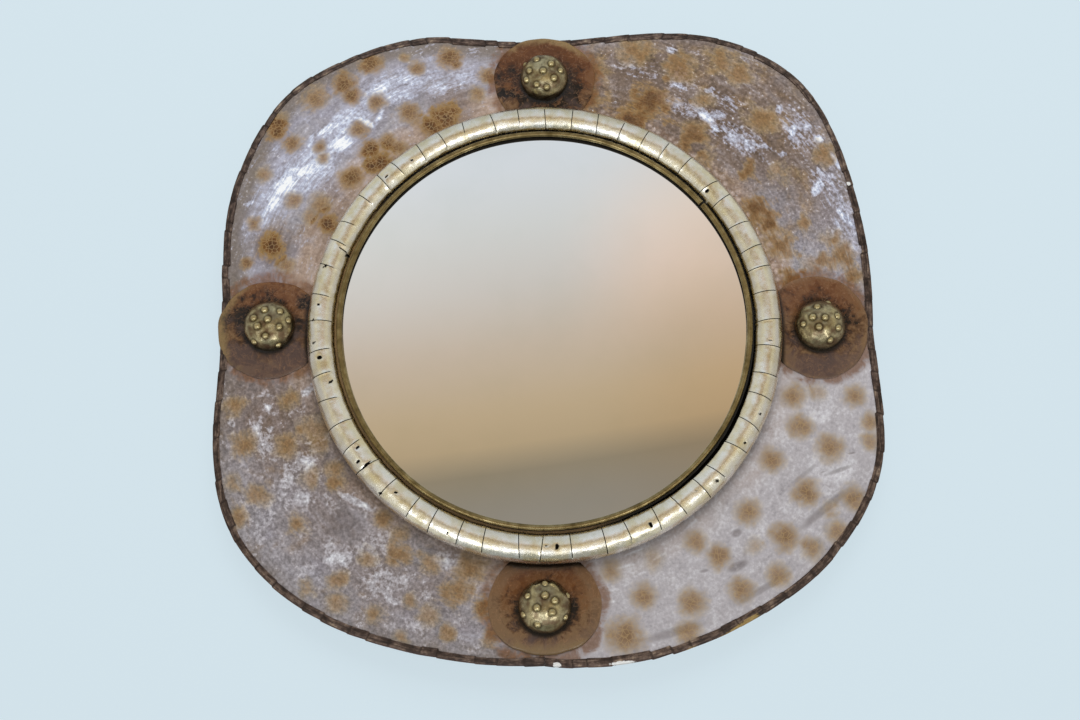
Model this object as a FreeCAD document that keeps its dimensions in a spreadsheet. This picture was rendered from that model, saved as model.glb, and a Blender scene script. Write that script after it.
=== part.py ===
import FreeCAD, Part
import math
import os

import Sketcher
from FreeCAD import Placement, Rotation, Vector

# Round wall mirror in a frame of four resin lobes.
# Each piece is drawn as it lies on a bench, face up: X to the right, Y to the top of the mirror and
# Z from the wall towards the viewer. UPRIGHT then hangs it on the wall, which is the plane Y = 0,
# with the middle of the backing board's rear face at the origin.

# Driving sizes in millimetres, and angles in degrees where the name ends in turn, tilt or sweep
SIZES = {
    # Mirror glass, which the whole frame is built round
    "glass_radius": 150,
    "glass_thickness": 3,
    "glass_arris": 0.6,
    # Backing board, with the boss that centres the lobes
    "board_margin": 0.5,
    "board_thickness": 18,
    "boss_gap": 0.5,
    # Resin lobes
    "lobe_margin": 0.5,
    "lobe_thickness": 5,
    "lobe_overlap": 22,
    "lobe_joint_gap": 0.8,
    "lobe_roll_width": 15,
    "lobe_roll_radius": 210,
    "lobe_roll_sweep": 25,
    # Band folded round the outer edge of each lobe
    "band_thickness": 0.8,
    "band_lip": 6.8,
    # Bed under the glass, and the tape that holds the glass to it
    "bed_inset": 2.6,
    "bed_thickness": 6,
    "tape_thickness": 1,
    "tape_width": 20,
    "tape_end_margin": 75,
    "tape_side_margin": 20,
    "tape_count": 4,
    # Half-round moulding over the edge of the glass
    "moulding_offset": 3.3,
    "moulding_half_width": 10.3,
    "moulding_skirt": 0.5,
    "rebate_side_gap": 1,
    "rebate_front_gap": 0.3,
    "kerf_width": 0.7,
    "kerf_depth": 1.2,
    "kerf_stop": 3,
    "kerf_count": 52,
    # Split wire ring on the glass
    "wire_radius": 2,
    "wire_side_gap": 1.2,
    "wire_split": 1.6,
    "wire_split_turn": 38,
    "wire_seat_gap": 0.05,
    # Screws that clamp board, lobes, bed and moulding together
    "clamp_offset": 2.7,
    "clamp_count": 8,
    "clamp_screw_radius": 2,
    "clamp_head_radius": 3.6,
    "clamp_head_height": 2.6,
    "clamp_grip": 6,
    "clamp_sink_radius": 4.5,
    "clamp_sink_depth": 5,
    "screw_clearance": 0.2,
    "tip_clearance": 0.5,
    # Dished discs under the studs
    "disc_radius": 38,
    "disc_thickness": 3,
    "disc_land_radius": 18,
    "disc_rim_rise": 2.4,
    "disc_bed_gap": 0.4,
    # Studs with their granules, posts, washers and nuts
    "stud_offset": 29.5,
    "stud_radius": 17.5,
    "stud_height": 13,
    "stud_grip": 8,
    "bead_radius": 3,
    "post_radius": 2.5,
    "post_tail": 1.5,
    "washer_radius": 6,
    "washer_thickness": 1,
    "nut_width": 8,
    "nut_height": 4,
    "nut_sink_radius": 8,
    "nut_sink_depth": 9,
    # Hanger in its routed pocket behind the board
    "pocket_side_gap": 8.4,
    "pocket_foot_gap": 5,
    "pocket_hook_room": 24,
    "pocket_depth": 7.5,
    "pocket_corner_radius": 6,
    "hinge_drop": 72,
    "strap_width": 14,
    "strap_thickness": 1.5,
    "strap_length": 43,
    "strap_corner_radius": 3,
    "loop_wire_radius": 1.6,
    "loop_half_width": 12,
    "loop_corner_radius": 3.2,
    "loop_side": 4,
    "loop_rest_tilt": 3,
    "knuckle_clearance": 0.06,
    "hanger_screw_radius": 1.75,
    "hanger_head_radius": 3.5,
    "hanger_head_height": 2,
    "hanger_screw_length": 9,
    "hanger_screw_first": 26,
    "hanger_screw_step": 12,
    # Length by which every cutting shape passes the face that it leaves
    "overrun": 1,
}

# Reach of each lobe as shares of LOBE_REACH, at even turns from its first joint to its last
LOBE_REACH_SHARES = {
    "upper_right": (1.0, 1.025, 1.067, 1.128, 1.186, 1.17, 1.094, 1.01, 0.975),
    "upper_left": (0.975, 1.0, 1.073, 1.12, 1.153, 1.123, 1.074, 1.017, 0.985),
    "lower_left": (0.985, 1.007, 1.064, 1.109, 1.106, 1.076, 1.037, 1.012, 1.0),
    "lower_right": (1.0, 1.017, 1.035, 1.054, 1.08, 1.093, 1.084, 1.03, 1.0),
}

# Turn of each lobe's first joint, and of each stud, about the mirror's axis
LOBE_TURNS = {"upper_right": 0, "upper_left": 90, "lower_left": 180, "lower_right": 270}
STUD_TURNS = {"right": 0, "top": 90, "left": 180, "bottom": 270}
QUARTER = 90
FULL_TURN = 360

# Rows of granules on a stud: how many, and how far the row leans from the stud's axis
BEAD_ROWS = ((3, 25), (7, 60))
# Part of a stud's own turn by which its granules are turned, so that no two studs match
BEAD_TURN_SHARE = 0.55

AXIS = Vector(0, 0, 1)
CENTRE = Vector(0, 0, 0)
UPRIGHT = Placement(CENTRE, Rotation(Vector(1, 0, 0), QUARTER))

# Heights above the wall, as formulas of the sheet's cells
BOARD_FRONT = "Sizes.board_thickness"
LOBE_FRONT = f"({BOARD_FRONT} + Sizes.lobe_thickness)"
BED_FRONT = f"({LOBE_FRONT} + Sizes.bed_thickness)"
GLASS_REAR = f"({BED_FRONT} + Sizes.tape_thickness)"
GLASS_FRONT = f"({GLASS_REAR} + Sizes.glass_thickness)"
MOULDING_MIDDLE = f"({BED_FRONT} + Sizes.moulding_skirt)"
STUD_SEAT = f"({LOBE_FRONT} + Sizes.disc_thickness)"
WASHER_REAR = "(Sizes.nut_sink_depth - Sizes.washer_thickness)"
NUT_REAR = f"({WASHER_REAR} - Sizes.nut_height)"
POST_REAR = f"({NUT_REAR} - Sizes.post_tail)"
STRAP_REAR = "(Sizes.pocket_depth - Sizes.strap_thickness)"
KNUCKLE_BORE = "(Sizes.loop_wire_radius + Sizes.knuckle_clearance)"
HINGE_LEVEL = f"({STRAP_REAR} - {KNUCKLE_BORE})"

# Radii about the mirror's axis, from the glass outwards
REBATE = "(Sizes.glass_radius + Sizes.rebate_side_gap)"
MOULDING_RADIUS = f"({REBATE} + Sizes.moulding_offset)"
LIP_LEVEL = f"({GLASS_FRONT} + Sizes.rebate_front_gap)"
LIP_HEIGHT = f"({LIP_LEVEL} - {MOULDING_MIDDLE})"
SIGHT = f"({MOULDING_RADIUS} - sqrt(Sizes.moulding_half_width ^ 2 - {LIP_HEIGHT} ^ 2))"
WIRE_RING_RADIUS = f"({SIGHT} - Sizes.wire_side_gap - Sizes.wire_radius)"
CLAMP_CIRCLE = f"({MOULDING_RADIUS} + Sizes.clamp_offset)"
BED_RADIUS = f"({MOULDING_RADIUS} + Sizes.moulding_half_width - Sizes.bed_inset)"
LOBE_INNER = f"({BED_RADIUS} - Sizes.lobe_overlap)"
STUD_CIRCLE = f"({BED_RADIUS} + Sizes.stud_offset)"
BOARD_RADIUS = f"({STUD_CIRCLE} + Sizes.nut_sink_radius + Sizes.board_margin)"
LOBE_REACH = f"({STUD_CIRCLE} + Sizes.disc_radius + Sizes.lobe_margin)"
LOBE_FLAT = f"({LOBE_REACH} - Sizes.lobe_roll_width)"

# Height of the hanger's hinge above the mirror's axis, and the pocket round the hanger
HINGE_HEIGHT = f"({BOARD_RADIUS} - Sizes.hinge_drop)"
POCKET_TOP = f"({HINGE_HEIGHT} + Sizes.pocket_hook_room)"
POCKET_BOTTOM = f"({HINGE_HEIGHT} - Sizes.strap_length - Sizes.pocket_foot_gap)"
POCKET_SIDE = "(Sizes.loop_half_width + Sizes.loop_wire_radius + Sizes.pocket_side_gap)"

# Radii that two pieces share
POST_HOLE = "(Sizes.post_radius + Sizes.screw_clearance)"
CLAMP_HOLE = "(Sizes.clamp_screw_radius + Sizes.screw_clearance)"
HANGER_HOLE = "(Sizes.hanger_screw_radius + Sizes.screw_clearance)"
DOME_RADIUS = "((Sizes.stud_radius ^ 2 + Sizes.stud_height ^ 2) / (2 * Sizes.stud_height))"

document = FreeCAD.newDocument("resin_mirror")
sheet = document.addObject("Spreadsheet::Sheet", "Sizes")
for row, (alias, number) in enumerate(SIZES.items(), start=1):
    sheet.set(f"A{row}", alias)
    sheet.set(f"B{row}", str(number))
    sheet.setAlias(f"B{row}", alias)
document.recompute()

pieces = []


def measure(formula):
    """Value of a formula of the sheet's cells."""
    return float(sheet.evalExpression(formula))


def size(name):
    """Value of one cell of the sheet."""
    return measure(f"Sizes.{name}")


def bind(item, **formulas):
    """Ties the named properties of a document object to formulas of the sheet's cells."""
    for name, formula in formulas.items():
        item.setExpression(name, formula)
    return item


def finish(item, label, placement=UPRIGHT):
    """Names a finished sub-part and hangs it on the wall."""
    item.Label = label
    item.Placement = placement
    pieces.append(item)
    return item


# Sketches and solid features of a body

def new_body(label, placement=UPRIGHT):
    body = document.addObject("PartDesign::Body", label)
    return finish(body, label, placement)


def origin_feature(body, role):
    return next(item for item in body.Origin.OriginFeatures if item.Role == role)


def sketch_on(body, name, role="XY_Plane", level="0"):
    """Sketch on one of the body's own planes, moved along the plane's normal to a level."""
    sketch = body.newObject("Sketcher::SketchObject", name)
    sketch.AttachmentSupport = [(origin_feature(body, role), "")]
    sketch.MapMode = "FlatFace"
    sketch.setExpression("AttachmentOffset.Base.z", level)
    return sketch


def pin_point(sketch, geometry, point, across, up):
    """Ties one point of a sketch to two formulas, measured from the sketch's origin."""
    for kind, formula, axis in (("DistanceX", across, -2), ("DistanceY", up, -1)):
        if formula == "0":
            sketch.addConstraint(Sketcher.Constraint("PointOnObject", geometry, point, axis))
        else:
            rule = Sketcher.Constraint(kind, -1, 1, geometry, point, measure(formula))
            index = sketch.addConstraint(rule)
            sketch.setExpression(f"Constraints[{index}]", formula)


def set_radius(sketch, geometry, radius):
    index = sketch.addConstraint(Sketcher.Constraint("Radius", geometry, measure(radius)))
    sketch.setExpression(f"Constraints[{index}]", radius)


def draw_circle(sketch, radius, across="0", up="0"):
    centre = Vector(measure(across), measure(up), 0)
    geometry = sketch.addGeometry(Part.Circle(centre, AXIS, measure(radius)))
    pin_point(sketch, geometry, 3, across, up)
    set_radius(sketch, geometry, radius)


def arc_between(start, end, radius):
    """Arc of less than a half turn from start to end, with its centre to the left of the chord."""
    chord = end - start
    middle = (start + end) * 0.5
    left = Vector(-chord.y, chord.x, 0).normalize()
    rise = math.sqrt(max(radius ** 2 - chord.Length ** 2 / 4, 0))
    centre = middle + left * rise
    first = math.atan2(start.y - centre.y, start.x - centre.x)
    last = math.atan2(end.y - centre.y, end.x - centre.x)
    return Part.ArcOfCircle(Part.Circle(centre, AXIS, radius), first, last)


def draw_outline(sketch, corners):
    """Closed outline of straight sides. A corner with a third formula starts an arc of that radius."""
    points = [Vector(measure(corner[0]), measure(corner[1]), 0) for corner in corners]
    following_points = points[1:] + points[:1]
    sides = []
    for corner, start, end in zip(corners, points, following_points):
        if len(corner) == 3:
            side = arc_between(start, end, measure(corner[2]))
        else:
            side = Part.LineSegment(start, end)
        sides.append(sketch.addGeometry(side))
    following_sides = sides[1:] + sides[:1]
    for corner, side, following in zip(corners, sides, following_sides):
        sketch.addConstraint(Sketcher.Constraint("Coincident", side, 2, following, 1))
        pin_point(sketch, side, 1, corner[0], corner[1])
        if len(corner) == 3:
            set_radius(sketch, side, corner[2])


def pad(body, sketch, length):
    feature = body.newObject("PartDesign::Pad", "Pad")
    feature.Profile = sketch
    return bind(feature, Length=length)


def pocket(body, sketch, depth, towards_viewer=False):
    """Cuts from the sketch towards the wall, or towards the viewer."""
    feature = body.newObject("PartDesign::Pocket", "Pocket")
    feature.Profile = sketch
    feature.Reversed = towards_viewer
    return bind(feature, Length=depth)


def revolve(body, sketch):
    feature = body.newObject("PartDesign::Revolution", "Revolution")
    feature.Profile = sketch
    feature.ReferenceAxis = (origin_feature(body, "Z_Axis"), [""])
    feature.Angle = FULL_TURN
    return feature


def repeat_round(body, features, count):
    """Repeats cuts at even turns about the body's Z axis."""
    pattern = body.newObject("PartDesign::PolarPattern", "Pattern")
    pattern.Originals = features
    pattern.Axis = (origin_feature(body, "Z_Axis"), [""])
    pattern.Angle = FULL_TURN
    bind(pattern, Occurrences=count)
    body.Tip = pattern
    return pattern


def drill(body, name, radius, depth, across="0", up="0", level="0", towards_viewer=False):
    """Round hole, from a level above the wall, through a depth."""
    sketch = sketch_on(body, name, level=level)
    draw_circle(sketch, radius, across, up)
    return pocket(body, sketch, depth, towards_viewer)


def clamp_place():
    """Where the first clamp screw stands: half a step round from the right-hand stud."""
    turn = "(180 / Sizes.clamp_count)"
    return f"{CLAMP_CIRCLE} * cos({turn})", f"{CLAMP_CIRCLE} * sin({turn})"


# Solids from primitives

def cylinder(name, radius, height, level="0"):
    item = document.addObject("Part::Cylinder", name)
    bind(item, Radius=radius, Height=height)
    item.setExpression("Placement.Base.z", level)
    return item


def cut(name, base, tool):
    item = document.addObject("Part::Cut", name)
    item.Base = base
    item.Tool = tool
    return item


def fuse(name, items):
    item = document.addObject("Part::MultiFuse", name)
    item.Shapes = items
    return item


def group(label, items):
    """Separate solids that share one node."""
    item = document.addObject("Part::Compound", label)
    item.Links = items
    return finish(item, label)


def turned_out(turn, radius):
    """Placement on a circle about the mirror's axis, turned to face outwards."""
    return Placement(CENTRE, Rotation(AXIS, turn)) * Placement(Vector(radius, 0, 0), Rotation())


def round_the_axis(name, maker, turns, radius):
    """One copy of a made solid at each turn of a circle."""
    copies = []
    for turn in turns:
        item = maker(name)
        item.Placement = turned_out(turn, measure(radius)) * item.Placement
        copies.append(item)
    return copies


# Backing board

def make_backing_board():
    body = new_body("backing_board")
    blank = sketch_on(body, "BoardOutline")
    draw_circle(blank, BOARD_RADIUS)
    pad(body, blank, BOARD_FRONT)
    boss = sketch_on(body, "BossOutline", level=BOARD_FRONT)
    draw_circle(boss, f"({LOBE_INNER} - Sizes.boss_gap)")
    pad(body, boss, "Sizes.lobe_thickness")

    recess = sketch_on(body, "HangerPocket")
    left = f"-{POCKET_SIDE}"
    draw_rounded_box(recess, left, POCKET_BOTTOM, POCKET_SIDE, POCKET_TOP, "Sizes.pocket_corner_radius")
    pocket(body, recess, "Sizes.pocket_depth", towards_viewer=True)

    post = drill(body, "PostHole", POST_HOLE, BOARD_FRONT, STUD_CIRCLE, towards_viewer=True)
    sink = drill(body, "NutSink", "Sizes.nut_sink_radius", "Sizes.nut_sink_depth", STUD_CIRCLE,
                 towards_viewer=True)
    repeat_round(body, [post, sink], str(len(STUD_TURNS)))

    across, up = clamp_place()
    through = drill(body, "ClampHole", CLAMP_HOLE, BOARD_FRONT, across, up, towards_viewer=True)
    seat = drill(body, "ClampSink", "Sizes.clamp_sink_radius", "Sizes.clamp_sink_depth",
                 across, up, towards_viewer=True)
    repeat_round(body, [through, seat], "Sizes.clamp_count")

    depth = "(Sizes.hanger_screw_length + Sizes.tip_clearance - Sizes.strap_thickness)"
    for height in hanger_screw_heights():
        drill(body, "PilotHole", HANGER_HOLE, depth, up=height, level="Sizes.pocket_depth",
              towards_viewer=True)


def draw_rounded_box(sketch, left, low, right, high, radius):
    """Box with four round corners, drawn anticlockwise."""
    draw_outline(sketch, (
        (f"{left} + {radius}", low),
        (f"{right} - {radius}", low, radius),
        (right, f"{low} + {radius}"),
        (right, f"{high} - {radius}", radius),
        (f"{right} - {radius}", high),
        (f"{left} + {radius}", high, radius),
        (left, f"{high} - {radius}"),
        (left, f"{low} + {radius}", radius),
    ))


# Resin lobes and their edge bands

def lobe_prism(shares, inset):
    """Prism that stands over one lobe from the wall up, drawn in the quarter from X to Y."""
    half_gap = size("lobe_joint_gap") / 2
    points = []
    for station, share in enumerate(shares):
        turn = math.radians(QUARTER * station / (len(shares) - 1))
        reach = measure(LOBE_REACH) * share - inset
        across = max(reach * math.cos(turn), half_gap)
        up = max(reach * math.sin(turn), half_gap)
        points.append(Vector(across, up, 0))
    edge = Part.BSplineCurve()
    edge.interpolate(points)
    corner = Vector(half_gap, half_gap, 0)
    sides = [edge.toShape(), Part.makeLine(points[-1], corner), Part.makeLine(corner, points[0])]
    height = measure(LOBE_FRONT) + size("overrun")
    return Part.Face(Part.Wire(sides)).extrude(AXIS * height)


def rolled_sheet(lift):
    """Quarter of the resin sheet, thickened by a lift on each face: flat round the glass, rolled outside."""
    flat = measure(LOBE_FLAT)
    roll = size("lobe_roll_radius")
    sweep = math.radians(size("lobe_roll_sweep"))
    centre = Vector(flat, 0, measure(LOBE_FRONT) - roll)
    front = roll + lift
    rear = roll - size("lobe_thickness") - lift

    def on_roll(radius, turn):
        return centre + Vector(math.sin(turn), 0, math.cos(turn)) * radius

    def rolled_edge(radius):
        return Part.Arc(on_roll(radius, 0), on_roll(radius, sweep / 2), on_roll(radius, sweep)).toShape()

    axis_front = Vector(0, 0, centre.z + front)
    axis_rear = Vector(0, 0, centre.z + rear)
    sides = [
        Part.makeLine(axis_rear, on_roll(rear, 0)),
        rolled_edge(rear),
        Part.makeLine(on_roll(rear, sweep), on_roll(front, sweep)),
        rolled_edge(front),
        Part.makeLine(on_roll(front, 0), axis_front),
        Part.makeLine(axis_front, axis_rear),
    ]
    outline = Part.Face(Part.Wire(Part.sortEdges(sides)[0]))
    return outline.revolve(CENTRE, AXIS, QUARTER)


def quarter_holes():
    """Cuts that every lobe shares: the glass side, the half holes of its posts and the clamp holes."""
    top = measure(LOBE_FRONT) + size("overrun")
    cuts = [Part.makeCylinder(measure(LOBE_INNER), top)]
    for turn in (0, QUARTER):
        place = turned_out(turn, measure(STUD_CIRCLE))
        cuts.append(Part.makeCylinder(measure(POST_HOLE), top, place.Base))
    for index in range(int(size("clamp_count"))):
        place = turned_out(FULL_TURN * (index + 0.5) / size("clamp_count"), measure(CLAMP_CIRCLE))
        cuts.append(Part.makeCylinder(measure(CLAMP_HOLE), top, place.Base))
    return cuts


def make_lobe(name, shares):
    """One lobe and the band folded round its edge."""
    thickness = size("band_thickness")
    blank = rolled_sheet(0).common(lobe_prism(shares, thickness))
    lobe = blank.cut(quarter_holes())
    strip = lobe_prism(shares, 0).cut(lobe_prism(shares, size("band_lip")))
    band = rolled_sheet(thickness).common(strip).cut(blank)
    placement = UPRIGHT * Placement(CENTRE, Rotation(AXIS, LOBE_TURNS[name]))
    for label, shape in ((f"lobe_{name}", lobe), (f"edge_band_{name}", band)):
        item = document.addObject("Part::Feature", label)
        item.Shape = shape.Solids[0]
        finish(item, label, placement)


# Bed, tape and glass

def make_bed_plate():
    body = new_body("bed_plate")
    outline = sketch_on(body, "BedOutline", level=LOBE_FRONT)
    draw_circle(outline, BED_RADIUS)
    pad(body, outline, "Sizes.bed_thickness")
    across, up = clamp_place()
    hole = drill(body, "ClampHole", CLAMP_HOLE, "Sizes.bed_thickness", across, up, level=BED_FRONT)
    repeat_round(body, [hole], "Sizes.clamp_count")


def make_tape_strips():
    strips = []
    count = int(size("tape_count"))
    length = "(2 * (Sizes.glass_radius - Sizes.tape_end_margin))"
    spread = "(2 * (Sizes.glass_radius - Sizes.tape_side_margin))"
    for index in range(count):
        strip = document.addObject("Part::Box", "TapeStrip")
        bind(strip, Length=length, Width="Sizes.tape_width", Height="Sizes.tape_thickness")
        place_share = (index + 0.5) / count - 0.5
        strip.setExpression("Placement.Base.x", f"-{length} / 2")
        strip.setExpression("Placement.Base.y", f"{place_share} * {spread} - Sizes.tape_width / 2")
        strip.setExpression("Placement.Base.z", BED_FRONT)
        strips.append(strip)
    group("glass_tape", strips)


def make_mirror_glass():
    body = new_body("mirror_glass")
    profile = sketch_on(body, "GlassProfile", "XZ_Plane")
    arris = "Sizes.glass_arris"
    edge = "Sizes.glass_radius"
    draw_outline(profile, (
        ("0", GLASS_REAR),
        (f"{edge} - {arris}", GLASS_REAR),
        (edge, f"{GLASS_REAR} + {arris}"),
        (edge, f"{GLASS_FRONT} - {arris}"),
        (f"{edge} - {arris}", GLASS_FRONT),
        ("0", GLASS_FRONT),
    ))
    revolve(body, profile)


# Moulding and wire ring

def make_moulding_ring():
    body = new_body("moulding_ring")
    middle = MOULDING_RADIUS
    half = "Sizes.moulding_half_width"
    profile = sketch_on(body, "HalfRound", "XZ_Plane")
    draw_outline(profile, (
        (REBATE, BED_FRONT),
        (f"{middle} + {half}", BED_FRONT),
        (f"{middle} + {half}", MOULDING_MIDDLE, half),
        (middle, f"{MOULDING_MIDDLE} + {half}", half),
        (SIGHT, LIP_LEVEL),
        (REBATE, LIP_LEVEL),
    ))
    revolve(body, profile)

    across, up = clamp_place()
    depth = "(Sizes.clamp_grip + Sizes.tip_clearance)"
    hole = drill(body, "ClampHole", CLAMP_HOLE, depth, across, up, level=BED_FRONT, towards_viewer=True)
    repeat_round(body, [hole], "Sizes.clamp_count")

    slot = sketch_on(body, "KerfSection", "XZ_Plane", level="-Sizes.kerf_width / 2")
    floor = f"({half} - Sizes.kerf_depth)"
    outer = f"({half} + Sizes.overrun)"
    stop = f"({half} - Sizes.kerf_stop)"
    draw_outline(slot, (
        (f"{middle} + {stop}", f"{MOULDING_MIDDLE} + sqrt({floor} ^ 2 - {stop} ^ 2)", floor),
        (middle, f"{MOULDING_MIDDLE} + {floor}", floor),
        (f"{middle} - sqrt({floor} ^ 2 - {LIP_HEIGHT} ^ 2)", LIP_LEVEL),
        (f"{middle} - sqrt({outer} ^ 2 - {LIP_HEIGHT} ^ 2)", LIP_LEVEL),
        (f"{middle} - {outer}", f"{MOULDING_MIDDLE} + {outer}"),
        (f"{middle} + {stop}", f"{MOULDING_MIDDLE} + {outer}"),
    ))
    kerf = pocket(body, slot, "Sizes.kerf_width", towards_viewer=True)
    repeat_round(body, [kerf], "Sizes.kerf_count")


def make_wire_ring():
    ring = document.addObject("Part::Torus", "WireRing")
    split = f"(Sizes.wire_split / {WIRE_RING_RADIUS} * 180 / pi)"
    bind(ring, Radius1=WIRE_RING_RADIUS, Radius2="Sizes.wire_radius", Angle3=f"360 - {split}")
    level = measure(f"{GLASS_FRONT} + Sizes.wire_radius + Sizes.wire_seat_gap")
    place = Placement(Vector(0, 0, level), Rotation(AXIS, size("wire_split_turn")))
    finish(ring, "wire_ring", UPRIGHT * place)


def make_clamp_screws():
    count = int(size("clamp_count"))
    turns = [FULL_TURN * (index + 0.5) / count for index in range(count)]
    shank = f"({BED_FRONT} + Sizes.clamp_grip - Sizes.clamp_sink_depth)"

    def screw(name):
        head_level = "(Sizes.clamp_sink_depth - Sizes.clamp_head_height)"
        head = cylinder("ClampHead", "Sizes.clamp_head_radius", "Sizes.clamp_head_height", head_level)
        stem = cylinder("ClampStem", "Sizes.clamp_screw_radius", shank, "Sizes.clamp_sink_depth")
        return fuse(name, [head, stem])

    group("clamp_screws", round_the_axis("ClampScrew", screw, turns, CLAMP_CIRCLE))


# Discs, studs and what holds them

def make_disc(name):
    """Dished disc round a stud, with a bite that clears the bed."""
    place = UPRIGHT * turned_out(STUD_TURNS[name], measure(STUD_CIRCLE))
    body = new_body(f"disc_{name}", place)
    profile = sketch_on(body, "DiscProfile", "XZ_Plane")
    rim_rear = f"{LOBE_FRONT} + Sizes.disc_rim_rise"
    draw_outline(profile, (
        (POST_HOLE, LOBE_FRONT),
        ("Sizes.disc_land_radius", LOBE_FRONT),
        ("Sizes.disc_radius", rim_rear),
        ("Sizes.disc_radius", f"{rim_rear} + Sizes.disc_thickness"),
        ("Sizes.disc_land_radius", STUD_SEAT),
        (POST_HOLE, STUD_SEAT),
    ))
    revolve(body, profile)
    top = f"({STUD_SEAT} + Sizes.disc_rim_rise)"
    drill(body, "BedBite", f"({BED_RADIUS} + Sizes.disc_bed_gap)", top, f"-{STUD_CIRCLE}", level=top)


def dome_shape():
    """Solid ball that the stud's cap is cut from, centred below the stud's seat."""
    radius = measure(DOME_RADIUS)
    drop = radius - size("stud_height")
    return Part.makeSphere(radius, Vector(0, 0, measure(STUD_SEAT) - drop))


def make_stud(name):
    place = UPRIGHT * turned_out(STUD_TURNS[name], measure(STUD_CIRCLE))
    cap = document.addObject("Part::Sphere", "StudCap")
    foot = f"asin(({DOME_RADIUS} - Sizes.stud_height) / {DOME_RADIUS})"
    bind(cap, Radius=DOME_RADIUS, Angle1=foot)
    cap.setExpression("Placement.Base.z", f"{STUD_SEAT} + Sizes.stud_height - {DOME_RADIUS}")
    depth = "(Sizes.stud_grip + Sizes.tip_clearance)"
    hole = cylinder("StudHole", POST_HOLE, depth, STUD_SEAT)
    finish(cut("Stud", cap, hole), f"stud_{name}", place)


def make_stud_beads(name):
    """Granules half sunk in the stud, in rows about its axis."""
    dome = dome_shape()
    middle = dome.BoundBox.Center
    beads = []
    for count, lean in BEAD_ROWS:
        for index in range(count):
            turn = FULL_TURN * index / count + BEAD_TURN_SHARE * STUD_TURNS[name]
            spot = Rotation(AXIS, turn) * Rotation(Vector(0, 1, 0), lean)
            centre = middle + spot.multVec(AXIS) * measure(DOME_RADIUS)
            beads.append(Part.makeSphere(size("bead_radius"), centre).cut(dome))
    item = document.addObject("Part::Feature", f"stud_beads_{name}")
    item.Shape = Part.makeCompound([bead.Solids[0] for bead in beads])
    place = UPRIGHT * turned_out(STUD_TURNS[name], measure(STUD_CIRCLE))
    finish(item, f"stud_beads_{name}", place)


def make_post(name):
    length = f"({STUD_SEAT} + Sizes.stud_grip - {POST_REAR})"
    return cylinder(name, "Sizes.post_radius", length, POST_REAR)


def make_washer(name):
    plate = cylinder("WasherPlate", "Sizes.washer_radius", "Sizes.washer_thickness", WASHER_REAR)
    hole = cylinder("WasherHole", POST_HOLE, "Sizes.washer_thickness", WASHER_REAR)
    return cut(name, plate, hole)


def make_nut(name):
    hexagon = document.addObject("Part::Prism", "NutHexagon")
    hexagon.Polygon = 6
    bind(hexagon, Circumradius="Sizes.nut_width / 2 / cos(30)", Height="Sizes.nut_height")
    hexagon.setExpression("Placement.Base.z", NUT_REAR)
    return cut(name, hexagon, cylinder("NutHole", POST_HOLE, "Sizes.nut_height", NUT_REAR))


def make_stud_fasteners():
    turns = STUD_TURNS.values()
    group("stud_posts", round_the_axis("Post", make_post, turns, STUD_CIRCLE))
    group("stud_washers", round_the_axis("Washer", make_washer, turns, STUD_CIRCLE))
    group("stud_nuts", round_the_axis("Nut", make_nut, turns, STUD_CIRCLE))


# Hanger

def hanger_screw_heights():
    """Heights of the two hanger screws above the mirror's axis."""
    first = f"({HINGE_HEIGHT} - Sizes.hanger_screw_first)"
    return first, f"({first} - Sizes.hanger_screw_step)"


def make_hanger_plate():
    """Strap screwed in the pocket, with the knuckle that carries the loop at its top."""
    body = new_body("hanger_plate")
    strap = sketch_on(body, "StrapOutline", level=STRAP_REAR)
    half = "Sizes.strap_width / 2"
    low = f"({HINGE_HEIGHT} - Sizes.strap_length)"
    radius = "Sizes.strap_corner_radius"
    draw_outline(strap, (
        (f"-{half} + {radius}", low),
        (f"{half} - {radius}", low, radius),
        (half, f"{low} + {radius}"),
        (half, HINGE_HEIGHT),
        (f"-{half}", HINGE_HEIGHT),
        (f"-{half}", f"{low} + {radius}", radius),
    ))
    pad(body, strap, "Sizes.strap_thickness")
    eye = sketch_on(body, "KnuckleOutline", "YZ_Plane", f"-{half}")
    draw_circle(eye, f"({KNUCKLE_BORE} + Sizes.strap_thickness)", HINGE_HEIGHT, HINGE_LEVEL)
    pad(body, eye, "Sizes.strap_width")
    bore = sketch_on(body, "KnuckleBore", "YZ_Plane", half)
    draw_circle(bore, KNUCKLE_BORE, HINGE_HEIGHT, HINGE_LEVEL)
    pocket(body, bore, "Sizes.strap_width")
    for height in hanger_screw_heights():
        drill(body, "ScrewHole", HANGER_HOLE, "Sizes.strap_thickness", up=height, level="Sizes.pocket_depth")


def make_hanger_screws():
    screws = []
    head_level = f"({STRAP_REAR} - Sizes.hanger_head_height)"
    for height in hanger_screw_heights():
        head = cylinder("HangerHead", "Sizes.hanger_head_radius", "Sizes.hanger_head_height", head_level)
        stem = cylinder("HangerStem", "Sizes.hanger_screw_radius", "Sizes.hanger_screw_length", STRAP_REAR)
        for solid in (head, stem):
            solid.setExpression("Placement.Base.y", height)
        screws.append(fuse("HangerScrew", [head, stem]))
    group("hanger_screws", screws)


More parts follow.
